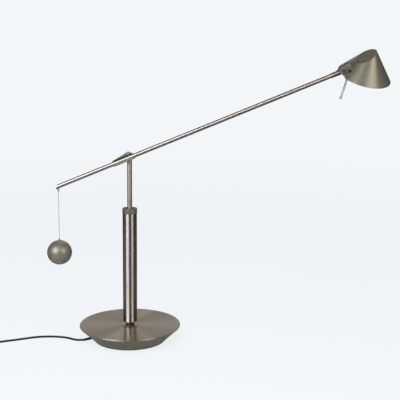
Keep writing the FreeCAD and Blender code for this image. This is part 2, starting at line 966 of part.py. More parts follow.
def make_rocker_cradle():
    """Folded channel under the arm. Its back wall rises as a long tapered ear to the pivot."""
    body = new_body("rocker_cradle")
    channel = new_sketch(body, "YZ_Plane", "-rocker_rear")
    outline(
        channel,
        [
            ("-ear_back", "-arm_top - ear_base"),
            ("-ear_back", "-rocker_bottom"),
            ("-rocker_front_face - rocker_wall", "-rocker_bottom"),
            ("-rocker_front_face - rocker_wall", "-arm_drop"),
            ("-rocker_front_face", "-arm_drop"),
            ("-rocker_front_face", "-rocker_floor"),
            ("-ear_front", "-rocker_floor"),
            ("-ear_front", "-arm_top - ear_base"),
        ],
    )
    fold = pad(body, channel, "rocker_rear + rocker_front")
    low = -size("rocker_bottom")

    def outer_bend(edge):
        box = edge.BoundBox
        return box.XLength > 10 and abs(box.ZMin - low) < 0.01 and box.ZLength < 0.01

    bent = round_edges(body, fold, outer_bend, "rocker_bend")
    floor = -size("rocker_floor")

    def inner_bend(edge):
        box = edge.BoundBox
        return box.XLength > 10 and abs(box.ZMin - floor) < 0.01 and box.ZLength < 0.01

    round_edges(body, bent, inner_bend, "rocker_bend - rocker_wall")
    middle = "(ear_back + ear_front) / 2"
    eye = new_sketch(body, "XZ_Plane", middle)
    circle(eye, "0", "0", "ear_radius")
    pad(body, eye, "rocker_wall", both=True)
    ear = new_sketch(body, "XZ_Plane", middle)
    outline(
        ear,
        [
            ("-rocker_rear", "-arm_top - ear_base"),
            ("rocker_front", "-arm_top - ear_base"),
            ("rocker_front", "-arm_top"),
            ("ear_radius * cos(35)", "ear_radius * sin(35)"),
            ("-ear_radius * sin(ear_slope)", "ear_radius * cos(ear_slope)"),
            ("-rocker_rear", "ear_radius / cos(ear_slope) - rocker_rear * tan(ear_slope)"),
        ],
    )
    pad(body, ear, "rocker_wall", both=True)
    hole = new_sketch(body, "XZ_Plane", middle)
    circle(hole, "0", "0", "pivot_bolt_radius + running_gap")
    cut(body, hole, "2 * rocker_wall", both=True)
    body.Placement = arm_frame()


# Arm ---------------------------------------------------------------------------------------


def mitre_corners(back):
    """Corners of the cut behind the arm's slanting end, drawn well past the tube."""
    reach = "3 * arm_radius"
    return [
        ("-arm_rear + %s - tan(mitre_angle) * %s" % (back, reach), "-" + reach),
        ("-arm_rear + %s + tan(mitre_angle) * %s" % (back, reach), reach),
        ("-arm_rear - 2 * %s" % reach, reach),
        ("-arm_rear - 2 * %s" % reach, "-" + reach),
    ]


def make_arm_tube():
    """Long tube with a slanting rear end, slotted below for the counterweight's lug."""
    body = new_body("arm_tube")
    section = new_sketch(body, "YZ_Plane", "-arm_rear - arm_radius")
    circle(section, "0", "0", "arm_radius")
    circle(section, "0", "0", "arm_bore")
    pad(body, section, "arm_rear + arm_radius + arm_front")
    mitre = new_sketch(body, "XZ_Plane")
    outline(mitre, mitre_corners("0"))
    cut(body, mitre, "4 * arm_radius", both=True)
    slot = new_sketch(body, "XZ_Plane")
    edge = "-lug_reach + lug_radius + lug_slot_gap"
    outline(
        slot,
        [
            ("-arm_rear - 2 * arm_radius", "-2 * arm_radius"),
            (edge, "-2 * arm_radius"),
            (edge, "-arm_bore / 2"),
            ("-arm_rear - 2 * arm_radius", "-arm_bore / 2"),
        ],
    )
    cut(body, slot, "lug_thickness + 2 * lug_slot_gap", both=True)
    body.Placement = tube_frame()


def make_arm_plug():
    """Plug in the arm's rear end. Its blade comes out below as the counterweight's lug."""
    body = new_body("arm_plug")
    section = new_sketch(body, "YZ_Plane", "-arm_rear - arm_radius")
    circle(section, "0", "0", "arm_bore - seat_gap")
    pad(body, section, "arm_radius + arm_plug_length")
    mitre = new_sketch(body, "XZ_Plane")
    outline(mitre, mitre_corners("arm_plug_recess"))
    cut(body, mitre, "4 * arm_radius", both=True)
    eye = new_sketch(body, "XZ_Plane")
    circle(eye, "-lug_reach", "-lug_drop", "lug_radius")
    pad(body, eye, "lug_thickness", both=True)
    blade = new_sketch(body, "XZ_Plane")
    outline(
        blade,
        [
            ("-lug_reach - lug_radius", "-lug_drop"),
            ("-lug_reach + lug_radius", "-lug_drop"),
            ("-lug_reach + lug_radius", "-arm_bore / 2 - lug_slot_gap"),
            ("-lug_reach - lug_radius", "-arm_bore / 2 - lug_slot_gap"),
        ],
    )
    pad(body, blade, "lug_thickness", both=True)
    hole = new_sketch(body, "XZ_Plane")
    circle(hole, "-lug_reach", "-lug_drop", "lug_hole")
    cut(body, hole, "2 * lug_thickness", both=True)
    body.Placement = tube_frame()


def make_arm_spigot():
    """Turned end of the arm, with the groove that keeps the head's tongue on while it turns."""
    groove_low = "arm_front + groove_place - groove_width / 2"
    groove_high = "arm_front + groove_place + groove_width / 2"
    turned(
        "arm_spigot",
        [
            ("arm_front - arm_spigot_inside", "arm_lead_radius + seat_gap"),
            ("arm_front - arm_spigot_inside", "arm_bore - seat_gap"),
            ("arm_front", "arm_bore - seat_gap"),
            ("arm_front", "spigot_radius"),
            (groove_low, "spigot_radius"),
            (groove_low, "groove_radius"),
            (groove_high, "groove_radius"),
            (groove_high, "spigot_radius"),
            ("spigot_end", "spigot_radius"),
            ("spigot_end", "arm_lead_radius + seat_gap"),
        ],
        "H_Axis",
        tube_frame(),
    )


def make_neck_collar():
    low = "arm_front - neck_collar_length"
    high = "arm_front"
    inner = "arm_radius + seat_gap"
    corners = [(low, inner), (high, inner), (high, "neck_collar_radius"), (low, "neck_collar_radius")]
    turned("neck_collar", corners, "H_Axis", tube_frame())


def make_arm_lead():
    """Two-core lead inside the arm, from over the pivot to the end of the spigot."""
    body = new_body("arm_lead")
    sketch = new_sketch(body, "YZ_Plane", "0")
    circle(sketch, "0", "0", "arm_lead_radius")
    pad(body, sketch, "spigot_end")
    body.Placement = tube_frame()


# Counterweight -----------------------------------------------------------------------------


def torus(name, major, minor, frame):
    ring = doc.addObject("Part::Torus", name)
    bind(ring, "Radius1", major)
    bind(ring, "Radius2", minor)
    ring.Placement = frame
    return ring


def make_wire_link():
    """Small ring through the lug's hole, on which the wire hangs."""
    centre = lug_point() - Vector(0, 0, size("link_radius"))
    ring = torus("wire_link", "link_radius", "link_wire", Placement(centre, turn((0, 1, 0), 90)))
    ring.Label = "wire_link"
    parts.append(ring)


def loop_centre():
    """The wire's loop rests on the lowest part of the link."""
    bottom = lug_point() - Vector(0, 0, 2 * size("link_radius"))
    seat = size("link_wire") + size("wire_radius") + size("turning_gap")
    return bottom + Vector(0, 0, seat - size("loop_radius"))


def ball_centre():
    return lug_point() - Vector(0, 0, size("ball_drop"))


def make_suspension_wire():
    centre = loop_centre()
    loop = torus("wire_loop", "loop_radius", "wire_radius", Placement(centre, turn((1, 0, 0), 90)))
    bottom = ball_centre().z + size("ball_radius") - size("ferrule_depth") / 2
    straight = doc.addObject("Part::Cylinder", "wire_straight")
    bind(straight, "Radius", "wire_radius")
    straight.Height = centre.z - size("loop_radius") - bottom
    straight.Placement = Placement(Vector(centre.x, centre.y, bottom), Rotation())
    wire = doc.addObject("Part::MultiFuse", "suspension_wire")
    wire.Shapes = [loop, straight]
    wire.Label = "suspension_wire"
    parts.append(wire)


def make_counterweight_ball():
    """Heavy ball, drilled from the top for the ferrule."""
    centre = ball_centre()
    sphere = doc.addObject("Part::Sphere", "ball_sphere")
    bind(sphere, "Radius", "ball_radius")
    sphere.Placement = Placement(centre, Rotation())
    drill = doc.addObject("Part::Cylinder", "ball_drill")
    bind(drill, "Radius", "ferrule_radius + seat_gap")
    bind(drill, "Height", "2 * ferrule_depth")
    low = centre + Vector(0, 0, size("ball_radius") - size("ferrule_depth"))
    drill.Placement = Placement(low, Rotation())
    ball = doc.addObject("Part::Cut", "counterweight_ball")
    ball.Base = sphere
    ball.Tool = drill
    ball.Label = "counterweight_ball"
    parts.append(ball)


def make_ball_ferrule():
    low = "ball_radius - ferrule_depth"
    high = "ball_radius + ferrule_showing"
    inner = "wire_radius + seat_gap"
    body = turned(
        "ball_ferrule",
        [
            (inner, low),
            ("ferrule_radius", low),
            ("ferrule_radius", "ball_radius + ferrule_showing / 2"),
            ("ferrule_radius / 2", high),
            (inner, high),
        ],
    )
    body.Placement = Placement(ball_centre(), Rotation())


# Head hinge --------------------------------------------------------------------------------


def make_hinge_tongue():
    """Socket that turns on the arm's spigot, and the round tongue between the bracket's cheeks."""
    body = turned(
        "hinge_tongue",
        [
            ("-tongue_start", "tongue_bore"),
            ("-tongue_bore_end", "tongue_bore"),
            ("-tongue_bore_end", "arm_lead_radius + seat_gap"),
            ("-tongue_root", "arm_lead_radius + seat_gap"),
            ("-tongue_root", "neck_collar_radius"),
            ("-tongue_start", "neck_collar_radius"),
        ],
        "H_Axis",
    )
    tail = new_sketch(body, "XZ_Plane")
    outline(
        tail,
        [
            ("-tongue_bore_end + turning_gap", "-tongue_tail"),
            ("0", "hinge_lift - knuckle_radius"),
            ("0", "hinge_lift + knuckle_radius"),
            ("-tongue_bore_end + turning_gap", "tongue_tail"),
        ],
    )
    pad(body, tail, "knuckle_thickness", both=True)
    eye = new_sketch(body, "XZ_Plane")
    circle(eye, "0", "hinge_lift", "knuckle_radius")
    pad(body, eye, "knuckle_thickness", both=True)
    bore = new_sketch(body, "XZ_Plane")
    circle(bore, "0", "hinge_lift", "hinge_bore")
    cut(body, bore, "4 * cheeks_half", both=True)
    lead = new_sketch(body, "YZ_Plane", "-tongue_root + turning_gap")
    circle(lead, "0", "0", "arm_lead_radius + seat_gap")
    cut(body, lead, "tongue_bore_end - tongue_root + turning_gap")
    grub = new_sketch(body, "XY_Plane")
    circle(grub, "-(hinge_reach - arm_front - groove_place)", "0", "grub_radius + seat_gap")
    cut(body, grub, "2 * neck_collar_radius")
    body.Placement = tongue_frame()


def make_grub_screw():
    """Its tip runs in the spigot's groove."""
    body = new_body("grub_screw")
    sketch = new_sketch(body, "XY_Plane", "-neck_collar_radius")
    circle(sketch, "-(hinge_reach - arm_front - groove_place)", "0", "grub_radius")
    pad(body, sketch, "neck_collar_radius - groove_radius - running_gap")
    body.Placement = tongue_frame()


def hinge_line():
    """Local Z along the hinge's screw, towards the front."""
    return hinge_frame() * Placement(Vector(0, 0, 0), turn((1, 0, 0), 90))


def make_hinge_screw():
    """Flush screw with a hexagon socket, through both cheeks."""
    back = "-cheeks_half - hinge_nut_height - bolt_tip"
    under = "cheeks_half - hinge_head_height"
    body = turned(
        "hinge_screw",
        [
            ("0", back),
            ("hinge_screw_radius", back),
            ("hinge_screw_radius", under),
            ("hinge_head_radius", under),
            ("hinge_head_radius", "cheeks_half"),
            ("0", "cheeks_half"),
        ],
    )
    socket = new_sketch(body, "XY_Plane", "cheeks_half")
    hexagon(socket, "hinge_socket_radius")
    cut(body, socket, "hinge_socket_depth")
    body.Placement = hinge_line()


def make_hinge_nut():
    low = "-cheeks_half - hinge_nut_height"
    bore = "hinge_screw_radius + seat_gap"
    hex_nut("hinge_nut", "hinge_nut_flats", bore, low, "-cheeks_half", hinge_line())


# Shade -------------------------------------------------------------------------------------


def above_cut(depth):
    """Corners of everything above the shade's slanting cut, lowered by a depth."""
    shift_x = "(%s) * sin(cut_angle)" % depth
    shift_z = "(%s) * cos(cut_angle)" % depth
    low = ("near_x - rim_radius + " + shift_x, "near_z - rim_radius * tan(cut_angle) - " + shift_z)
    high = ("far_x + rim_radius + " + shift_x, "far_z + rim_radius * tan(cut_angle) - " + shift_z)
    return low, high


def cut_sketch(body):
    """Sketch on the upright plane that halves the slanting cut, a little turned from the hinge."""
    sketch = new_sketch(body, "XZ_Plane")
    sketch.AttachmentOffset = Placement(Vector(0, 0, 0), turn((0, 1, 0), size("cut_turn")))
    bind(sketch, "AttachmentOffset.Rotation.Angle", "cut_turn")
    return sketch


def make_shade_shell():
    """Cone of sheet metal, cut off aslant at the top and slotted at the rim for the hinge."""
    top_radius = "cut_far / 2"
    top = "shade_height - %s / tan(cone_half_angle)" % top_radius
    body = turned(
        "shade_shell",
        [
            ("rim_radius - shade_across", "0"),
            ("rim_radius", "0"),
            (top_radius, top),
            ("%s - shade_across" % top_radius, top),
        ],
    )
    slant = cut_sketch(body)
    low, high = above_cut("0")
    outline(slant, [low, high, (high[0], "4 * rim_radius"), (low[0], "4 * rim_radius")])
    cut(body, slant, "4 * rim_radius", both=True)
    for side in (-1, 1):
        arch = new_sketch(body, "YZ_Plane")
        circle(arch, "%d * slot_side" % side, "slot_centre", "slot_radius")
        cut(body, arch)
    half = "(slot_side + slot_radius)"
    for wide, high in ((half, "slot_centre"), ("slot_side", "slot_centre + slot_radius")):
        mouth = new_sketch(body, "YZ_Plane")
        outline(
            mouth,
            [
                ("-" + wide, "-slot_centre"),
                (wide, "-slot_centre"),
                (wide, high),
                ("-" + wide, high),
            ],
        )
        cut(body, mouth)
    body.Placement = head_frame()


def make_shade_cover():
    """Flat plate that closes the slanting top, just inside its edge."""
    inner = "rim_radius - shade_across - cover_gap"
    body = turned("shade_cover", [("0", "0"), (inner, "0"), ("0", "(%s) / tan(cone_half_angle)" % inner)])
    slant = new_sketch(body, "XZ_Plane")
    low, high = above_cut("cover_recess")
    outline(slant, [low, high, (high[0], "4 * rim_radius"), (low[0], "4 * rim_radius")])
    cut(body, slant, "4 * rim_radius", both=True)
    under = new_sketch(body, "XZ_Plane")
    low, high = above_cut("cover_under")
    outline(under, [low, high, (high[0], "-4 * rim_radius"), (low[0], "-4 * rim_radius")])
    cut(body, under, "4 * rim_radius", both=True)
    hole = new_sketch(body, "XY_Plane")
    hole.AttachmentOffset = Placement(Vector(0, 0, 0), turn((0, -1, 0), size("cut_angle")))
    bind(hole, "AttachmentOffset.Base.x", "near_x + shade_screw_place * cos(cut_angle)")
    bind(hole, "AttachmentOffset.Base.z", "near_z + shade_screw_place * sin(cut_angle)")
    bind(hole, "AttachmentOffset.Rotation.Angle", "cut_angle")
    circle(hole, "0", "0", "shade_screw_radius + seat_gap")
    cut(body, hole)
    body.Placement = cut_frame()


def make_reflector():
    """Spun dish about the lamp, with a flange that closes the shade's rim round it."""
    lean = "tan(cone_half_angle)"
    high = "(reflector_low + reflector_wall)"
    body = turned(
        "reflector",
        [
            ("dish_radius", "reflector_low"),
            ("reflector_edge - reflector_low * " + lean, "reflector_low"),
            ("reflector_edge - %s * %s" % (high, lean), high),
            ("dish_radius", high),
            ("dish_hole", "dish_top + reflector_wall"),
            ("dish_hole", "dish_top"),
        ],
    )
    gap = new_sketch(body, "XY_Plane")
    outline(
        gap,
        [
            ("-2 * rim_radius", "-cheeks_half - dish_side_gap"),
            ("-dish_radius + dish_notch_step", "-cheeks_half - dish_side_gap"),
            ("-dish_radius + dish_notch_step", "cheeks_half + dish_side_gap"),
            ("-2 * rim_radius", "cheeks_half + dish_side_gap"),
        ],
    )
    cut(body, gap, "2 * dish_top", back=True)
    hole = new_sketch(body, "XY_Plane")
    circle(hole, "-handle_in", "0", "handle_radius + dish_side_gap")
    cut(body, hole, "2 * dish_top", back=True)
    body.Placement = head_frame()


def bracket_point(reach, side):
    """A point on the bar's line, a reach from the hinge towards the holder, and off to one side."""
    across = "-hinge_in + (%s) * cos(bracket_angle) - (%s) * sin(bracket_angle)" % (reach, side)
    up = "hinge_up + (%s) * sin(bracket_angle) + (%s) * cos(bracket_angle)" % (reach, side)
    return across, up


def make_holder_bracket():
    """Two cheeks, bar, post for the shade's screw and bored seat for the handle, in one piece."""
    body = new_body("holder_bracket")
    bar = new_sketch(body, "XZ_Plane")
    half = "bracket_width / 2"
    outline(
        bar,
        [
            bracket_point("tongue_root", "-" + half),
            ("-holder_half", "holder_middle - " + half),
            ("-holder_half", "holder_middle + " + half),
            bracket_point("tongue_root", half),
        ],
    )
    pad(body, bar, "2 * cheeks_half", both=True)
    link = new_sketch(body, "XZ_Plane")
    outline(
        link,
        [
            bracket_point("0", "-cheek_radius"),
            bracket_point("link_reach", "-link_end"),
            bracket_point("link_reach", "link_end"),
            bracket_point("0", "cheek_radius"),
        ],
    )
    pad(body, link, "2 * cheeks_half", both=True)
    cheeks = new_sketch(body, "XZ_Plane")
    circle(cheeks, "-hinge_in", "hinge_up", "cheek_radius")
    pad(body, cheeks, "2 * cheeks_half", both=True)
    post = cut_sketch(body)
    outline(post, post_corners())
    pad(body, post, "2 * post_radius", both=True)
    room = new_sketch(body, "XZ_Plane")
    circle(room, "-hinge_in", "hinge_up", "tongue_root")
    cut(body, room, "2 * cheek_gap_half", both=True)
    bore = new_sketch(body, "XZ_Plane")
    circle(bore, "-hinge_in", "hinge_up", "hinge_screw_radius + seat_gap")
    cut(body, bore, "4 * cheeks_half", both=True)
    recess = new_sketch(body, "XZ_Plane", "cheeks_half - hinge_head_height - seat_gap")
    circle(recess, "-hinge_in", "hinge_up", "hinge_head_radius + seat_gap")
    cut(body, recess, "2 * cheek_thickness", back=True)
    seat = new_sketch(body, "XY_Plane")
    circle(seat, "-handle_in", "0", "handle_hole")
    cut(body, seat, "handle_top + seat_gap", back=True)
    body.Placement = head_frame()


def post_corners():
    """The post stands square to the cover, from the bracket's bar up to the cover's underside."""
    foot_x = "near_x + shade_screw_place * cos(cut_angle)"
    foot_z = "near_z + shade_screw_place * sin(cut_angle)"
    corners = []
    for side, depth in ((-1, "cover_under"), (1, "cover_under"), (1, "3 * post_radius"),
                        (-1, "3 * post_radius")):
        across = "%s + %d * post_radius * cos(cut_angle) + %s * sin(cut_angle)" % (foot_x, side, depth)
        up = "%s + %d * post_radius * sin(cut_angle) - %s * cos(cut_angle)" % (foot_z, side, depth)
        corners.append((across, up))
    return corners


def shade_screw_frame():
    """Local Z square to the cover, origin on the cover's upper face."""
    reach = size("shade_screw_place")
    angle = math.radians(size("cut_angle"))
    recess = size("cover_recess")
    across = size("near_x") + reach * math.cos(angle) + recess * math.sin(angle)
    up = size("near_z") + reach * math.sin(angle) - recess * math.cos(angle)
    return cut_frame() * Placement(Vector(across, 0, up), turn((0, 1, 0), -size("cut_angle")))


def make_shade_screw():
    body = turned(
        "shade_screw",
        [
            ("0", "-cover_thickness"),
            ("shade_screw_radius", "-cover_thickness"),
            ("shade_screw_radius", "0"),
            ("shade_screw_head", "0"),
            ("shade_screw_head", "shade_screw_height / 2"),
            ("shade_screw_head - shade_screw_height / 2", "shade_screw_height"),
            ("0", "shade_screw_height"),
        ],
    )
    socket = new_sketch(body, "XY_Plane", "shade_screw_height")
    hexagon(socket, "shade_screw_radius")
    cut(body, socket, "shade_screw_height / 2")
    body.Placement = shade_screw_frame()


# Lamp holder, capsule and handle -----------------------------------------------------------


def make_lamp_holder():
    body = new_body("lamp_holder")
    base = new_sketch(body, "XY_Plane", "holder_low")
    outline(
        base,
        [
            ("-holder_half", "-holder_depth"),
            ("holder_half", "-holder_depth"),
            ("holder_half", "holder_depth"),
            ("-holder_half", "holder_depth"),
        ],
    )
    block = pad(body, base, "holder_high - holder_low")

    def upright(edge):
        return edge.BoundBox.ZLength > 5 and edge.BoundBox.XMin > 0

    round_edges(body, block, upright, "pinch_radius / 2")
    holes = new_sketch(body, "XY_Plane", "holder_low")
    for side in (-1, 1):
        circle(holes, "%d * pin_pitch / 2" % side, "0", "pin_radius + seat_gap")
    cut(body, holes, "pin_depth + seat_gap", back=True)
    body.Placement = head_frame()


def make_halogen_capsule():
    """Glass capsule with a rounded end and a narrower pinched top."""
    body = turned(
        "halogen_capsule",
        [
            ("0", "capsule_low"),
            ("capsule_radius", "capsule_low"),
            ("capsule_radius", "capsule_top"),
            ("pinch_radius", "capsule_top"),
            ("pinch_radius", "holder_low"),
            ("0", "holder_low"),
        ],
    )
    low = size("capsule_low")
    round_edges(
        body, body.Tip, lambda edge: edge.BoundBox.ZMax < low + 0.01 and edge.Closed,
        "capsule_radius * 0.9"
    )
    body.Placement = head_frame()


def make_capsule_pins():
    body = new_body("capsule_pins")
    body.AllowCompound = True
    sketch = new_sketch(body, "XY_Plane", "holder_low")
    for side in (-1, 1):
        circle(sketch, "%d * pin_pitch / 2" % side, "0", "pin_radius")
    pad(body, sketch, "pin_depth")
    body.Placement = head_frame()


def make_handle_rod():
    """Rod that hangs under the rim to turn and tilt the shade by; its stub carries the tip."""
    body = turned(
        "handle_rod",
        [
            ("0", "-handle_length - handle_stub"),
            ("handle_stub_radius", "-handle_length - handle_stub"),
            ("handle_stub_radius", "-handle_length"),
            ("handle_radius", "-handle_length"),
            ("handle_radius", "handle_top"),
            ("0", "handle_top"),
        ],
    )
    body.Placement = head_frame() * Placement(Vector(-size("handle_in"), 0, 0), Rotation())


def make_handle_tip():
    low = "-handle_length - tip_length"
    stub = "-handle_length - handle_stub - seat_gap"
    body = turned(
        "handle_tip",
        [
            ("0", low),
            ("tip_radius", low),
            ("tip_radius", "-handle_length"),
            ("handle_stub_radius + seat_gap", "-handle_length"),
            ("handle_stub_radius + seat_gap", stub),
            ("0", stub),
        ],
    )
    bottom = -size("handle_length") - size("tip_length")
    round_edges(
        body, body.Tip, lambda edge: edge.BoundBox.ZMax < bottom + 0.01 and edge.Closed, "tip_round"
    )
    body.Placement = head_frame() * Placement(Vector(-size("handle_in"), 0, 0), Rotation())


# Cord --------------------------------------------------------------------------------------


def gland_frame():
    """Local Z along the way the cord leaves, origin where the shell's wall is crossed."""
    azimuth = size("gland_azimuth")
    angle = math.radians(azimuth)
    out = size("gland_radius")
    place = Vector(out * math.cos(angle), out * math.sin(angle), size("gland_height"))
    return Placement(place, turn((0, 0, 1), azimuth) * turn((0, 1, 0), 90 + size("gland_droop")))


def make_cord_gland():
    """Strain relief: flange inside the shell, neck in its hole and tapered tail outside."""
    body = turned(
        "cord_gland",
        [
            ("0", "-gland_inside"),
            ("gland_flange", "-gland_inside"),
            ("gland_flange", "gland_flange_length - gland_inside"),
            ("gland_neck", "gland_flange_length - gland_inside"),
            ("gland_neck", "gland_flange_length"),
            ("gland_end", "gland_tail"),
            ("0", "gland_tail"),
        ],
    )
    body.Placement = gland_frame()


def rounded_path(points):
    """Straight runs joined by the largest tangent arcs that both runs allow."""
    edges = []
    radii = []
    start = points[0]
    for before, corner, after in zip(points, points[1:], points[2:]):
        back = before - corner
        ahead = after - corner
        half = (math.pi - back.getAngle(ahead)) / 2
        reach = 0.45 * min(back.Length, ahead.Length)
        radii.append(reach / math.tan(half))
        first = corner + back.normalize() * reach
        last = corner + ahead.normalize() * reach
        inward = ((first + last) * 0.5 - corner).normalize()
        middle = corner + inward * (radii[-1] / math.cos(half) - radii[-1])
        edges.append(Part.LineSegment(start, first).toShape())
        edges.append(Part.Arc(first, middle, last).toShape())
        start = last
    edges.append(Part.LineSegment(start, points[-1]).toShape())
    return Part.Wire(edges), radii


def cord_tube(name, points):
    path, radii = rounded_path(points)
    heading = points[1] - points[0]
    section = Part.Wire(Part.Circle(points[0], heading, size("cord_radius")).toShape())
    solid = path.makePipeShell([section], True, False)
    tube = doc.addObject("Part::Feature", name)
    tube.Shape = solid
    tube.Label = name
    parts.append(tube)
    expected = math.pi * size("cord_radius") ** 2 * path.Length
    print(name, "length %.1f" % path.Length, "radii", ["%.0f" % radius for radius in radii])
    if abs(solid.Volume / expected - 1) > 0.01:
        raise RuntimeError("the tube's volume doesn't match its length: " + name)
    return path.Length


def coil_entry_point():
    """Where the cord crosses into the coil, on the tangent of its middle turn."""
    angle = math.radians(COIL_ARRIVAL)
    heading = Vector(math.cos(angle), math.sin(angle), 0)
    outward = Vector(math.sin(-angle), math.cos(angle), 0)
    centre = Vector(COIL_CENTRE[0], COIL_CENTRE[1], size("cord_radius"))
    touch = centre + outward * size("coil_turn_radius")
    return touch - heading * size("coil_entry")


def make_cord():
    start = gland_frame().multVec(Vector(0, 0, size("gland_tail")))
    route = [start]
    for across, along, up in CORD_ROUTE:
        route.append(Vector(across, along, up))
    route.append(coil_entry_point())
    seen = cord_tube("mains_cord", route)
    leave = Vector(COIL_CENTRE[0] - size("coil_turn_radius"), COIL_CENTRE[1], size("cord_radius"))
    tail = [leave + Vector(0, size("coil_entry"), 0)]
    for across, along, up in TAIL_ROUTE:
        tail.append(Vector(across, along, up))
    tail.append(Vector(PLUG_START[0], PLUG_START[1], size("plug_middle")))
    rest = cord_tube("plug_cord", tail)
    wound = 2 * math.pi * size("coil_turn_radius") * size("coil_turns")
    total = seen + rest + wound + 2 * size("coil_entry")
    print("cord in all %.0f mm" % total)


def make_cord_coil():
    """The outer shape of the neat coil that the rest of the cord lies in."""
    body = turned("cord_coil", ring_corners("coil_inner", "coil_outer", "0", "coil_height"))
    round_edges(body, body.Tip, lambda edge: edge.Closed, "coil_round")
    body.Placement = Placement(Vector(COIL_CENTRE[0], COIL_CENTRE[1], 0), Rotation())


def plug_frame():
    """Local X along the plug towards its pins, origin where the cord enters its relief."""
    place = Vector(PLUG_START[0], PLUG_START[1], 0)
    return Placement(place, turn((0, 0, 1), 90))


def make_plug_body():
    """Flat two-pin plug with a waisted grip and a tapered relief."""
    body = new_body("plug_body")
    plan = new_sketch(body, "XY_Plane")
    front = "plug_relief + plug_length"
    outline(
        plan,
        [
            ("plug_relief", "-plug_relief_radius * 2"),
            ("plug_relief + plug_length / 3", "-plug_waist / 2"),
            ("plug_relief + plug_length / 2", "-plug_waist / 2"),
            (front + " - plug_round", "-plug_width / 2"),
            (front, "-plug_width / 2"),
            (front, "plug_width / 2"),
            (front + " - plug_round", "plug_width / 2"),
            ("plug_relief + plug_length / 2", "plug_waist / 2"),
            ("plug_relief + plug_length / 3", "plug_waist / 2"),
            ("plug_relief", "plug_relief_radius * 2"),
        ],
    )
    block = pad(body, plan, "plug_thickness")
    thickness = size("plug_thickness")

    def long_edge(edge):
        box = edge.BoundBox
        flat = box.ZLength < 0.01
        return flat and box.XLength > 1 and (box.ZMin > thickness - 0.01 or box.ZMax < 0.01)

    round_edges(body, block, long_edge, "plug_round")
    relief = new_sketch(body, "XZ_Plane")
    outline(
        relief,
        [
            ("0", "plug_middle"),
            ("0", "plug_middle + cord_radius + seat_gap"),
            ("plug_relief + plug_round", "plug_middle + plug_relief_radius"),
            ("plug_relief + plug_round", "plug_middle"),
        ],
    )
    spin = body.newObject("PartDesign::Revolution", "plug_relief_turn")
    spin.Profile = relief
    spin.ReferenceAxis = (relief, ["Edge4"])
    spin.Angle = 360
    sockets = new_sketch(body, "YZ_Plane", front)
    for side in (-1, 1):
        place = "%d * plug_pin_pitch / 2" % side
        circle(sockets, place, "plug_middle", "plug_pin_radius + seat_gap")
    cut(body, sockets, "plug_pin_depth")
    body.Placement = plug_frame()


def make_plug_pins():
    body = new_body("plug_pins")
    body.AllowCompound = True
    sketch = new_sketch(body, "YZ_Plane", "plug_relief + plug_length - plug_pin_depth")
    for side in (-1, 1):
        circle(sketch, "%d * plug_pin_pitch / 2" % side, "plug_middle", "plug_pin_radius")
    pins = pad(body, sketch, "plug_pin_depth + plug_pin_length")
    tip = size("plug_relief") + size("plug_length") + size("plug_pin_length")
    round_edges(body, pins, lambda edge: edge.BoundBox.XMin > tip - 0.01, "plug_pin_radius * 0.8")
    body.Placement = plug_frame()


# Build and export --------------------------------------------------------------------------


def build():
    fill_sheet()
    make_top_disc()
    make_cone_shell()
    make_foot_ring()
    make_base_plate()
    make_plate_screws()
    make_ballast_ring()
    make_transformer()
    make_transformer_pad()
    make_clamp_washer()
    hex_nut(
        "clamp_nut", "thin_nut_flats", "tie_radius + seat_gap", "clamp_top - clamp_dish",
        "clamp_top - clamp_dish + thin_nut_height"
    )
    make_terminal_block()
    make_tie_tube()
    make_neck_spacer()
    make_column_tube()
    make_column_plug()
    make_collar()
    make_guide_bush()
    make_bush_nut()
    make_friction_sleeve()
    make_stem_tube()
    make_stem_guide()
    make_stem_head()
    make_stem_lead()
    make_pivot_bolt()
    make_pivot_cap()
    make_pivot_washer()
    make_spring_washer()
    make_pivot_nut()
    make_rocker_cradle()
    make_arm_tube()
    make_arm_plug()
    make_arm_spigot()
    make_neck_collar()
    make_arm_lead()
    make_wire_link()
    make_suspension_wire()
    make_counterweight_ball()
    make_ball_ferrule()
    make_hinge_tongue()
    make_grub_screw()
    make_hinge_screw()
    make_hinge_nut()
    make_shade_shell()
    make_shade_cover()
    make_reflector()
    make_holder_bracket()
    make_shade_screw()
    make_lamp_holder()
    make_halogen_capsule()
    make_capsule_pins()
    make_handle_rod()
    make_handle_tip()
    make_cord_gland()
    make_cord()
    make_cord_coil()
    make_plug_body()
    make_plug_pins()
    doc.recompute()


def check():
    for thing in doc.Objects:
        if "Invalid" in thing.State or "Error" in thing.State:
            raise RuntimeError("failed: %s %s" % (thing.Label, thing.State))
    for part in parts:
        if part.Shape.isNull() or not part.Shape.isValid():
            raise RuntimeError("bad shape: " + part.Label)
        if not part.Shape.Solids:
            raise RuntimeError("no solid: " + part.Label)


def export():
    os.makedirs("parts", exist_ok=True)
    for part in parts:
        part.Shape.exportStep("parts/%s.step" % part.Label)
    print(len(parts), "pieces written")


build()
check()
export()
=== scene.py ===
import math

import bmesh
import bpy
from mathutils import Matrix, Vector


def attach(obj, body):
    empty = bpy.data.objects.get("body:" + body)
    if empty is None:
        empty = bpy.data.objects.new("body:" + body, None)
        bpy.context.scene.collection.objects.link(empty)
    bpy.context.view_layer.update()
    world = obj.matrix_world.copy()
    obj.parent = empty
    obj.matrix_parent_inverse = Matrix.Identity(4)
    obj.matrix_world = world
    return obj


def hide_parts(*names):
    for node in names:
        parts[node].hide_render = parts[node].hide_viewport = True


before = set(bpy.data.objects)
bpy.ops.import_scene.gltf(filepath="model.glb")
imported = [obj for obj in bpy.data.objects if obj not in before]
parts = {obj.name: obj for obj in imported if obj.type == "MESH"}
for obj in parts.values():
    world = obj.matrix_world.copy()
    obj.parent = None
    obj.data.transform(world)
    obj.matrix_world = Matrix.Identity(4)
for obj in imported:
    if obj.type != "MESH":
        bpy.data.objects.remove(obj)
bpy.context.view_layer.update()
print("frame loaded")

sceneRoot = bpy.context.scene.collection


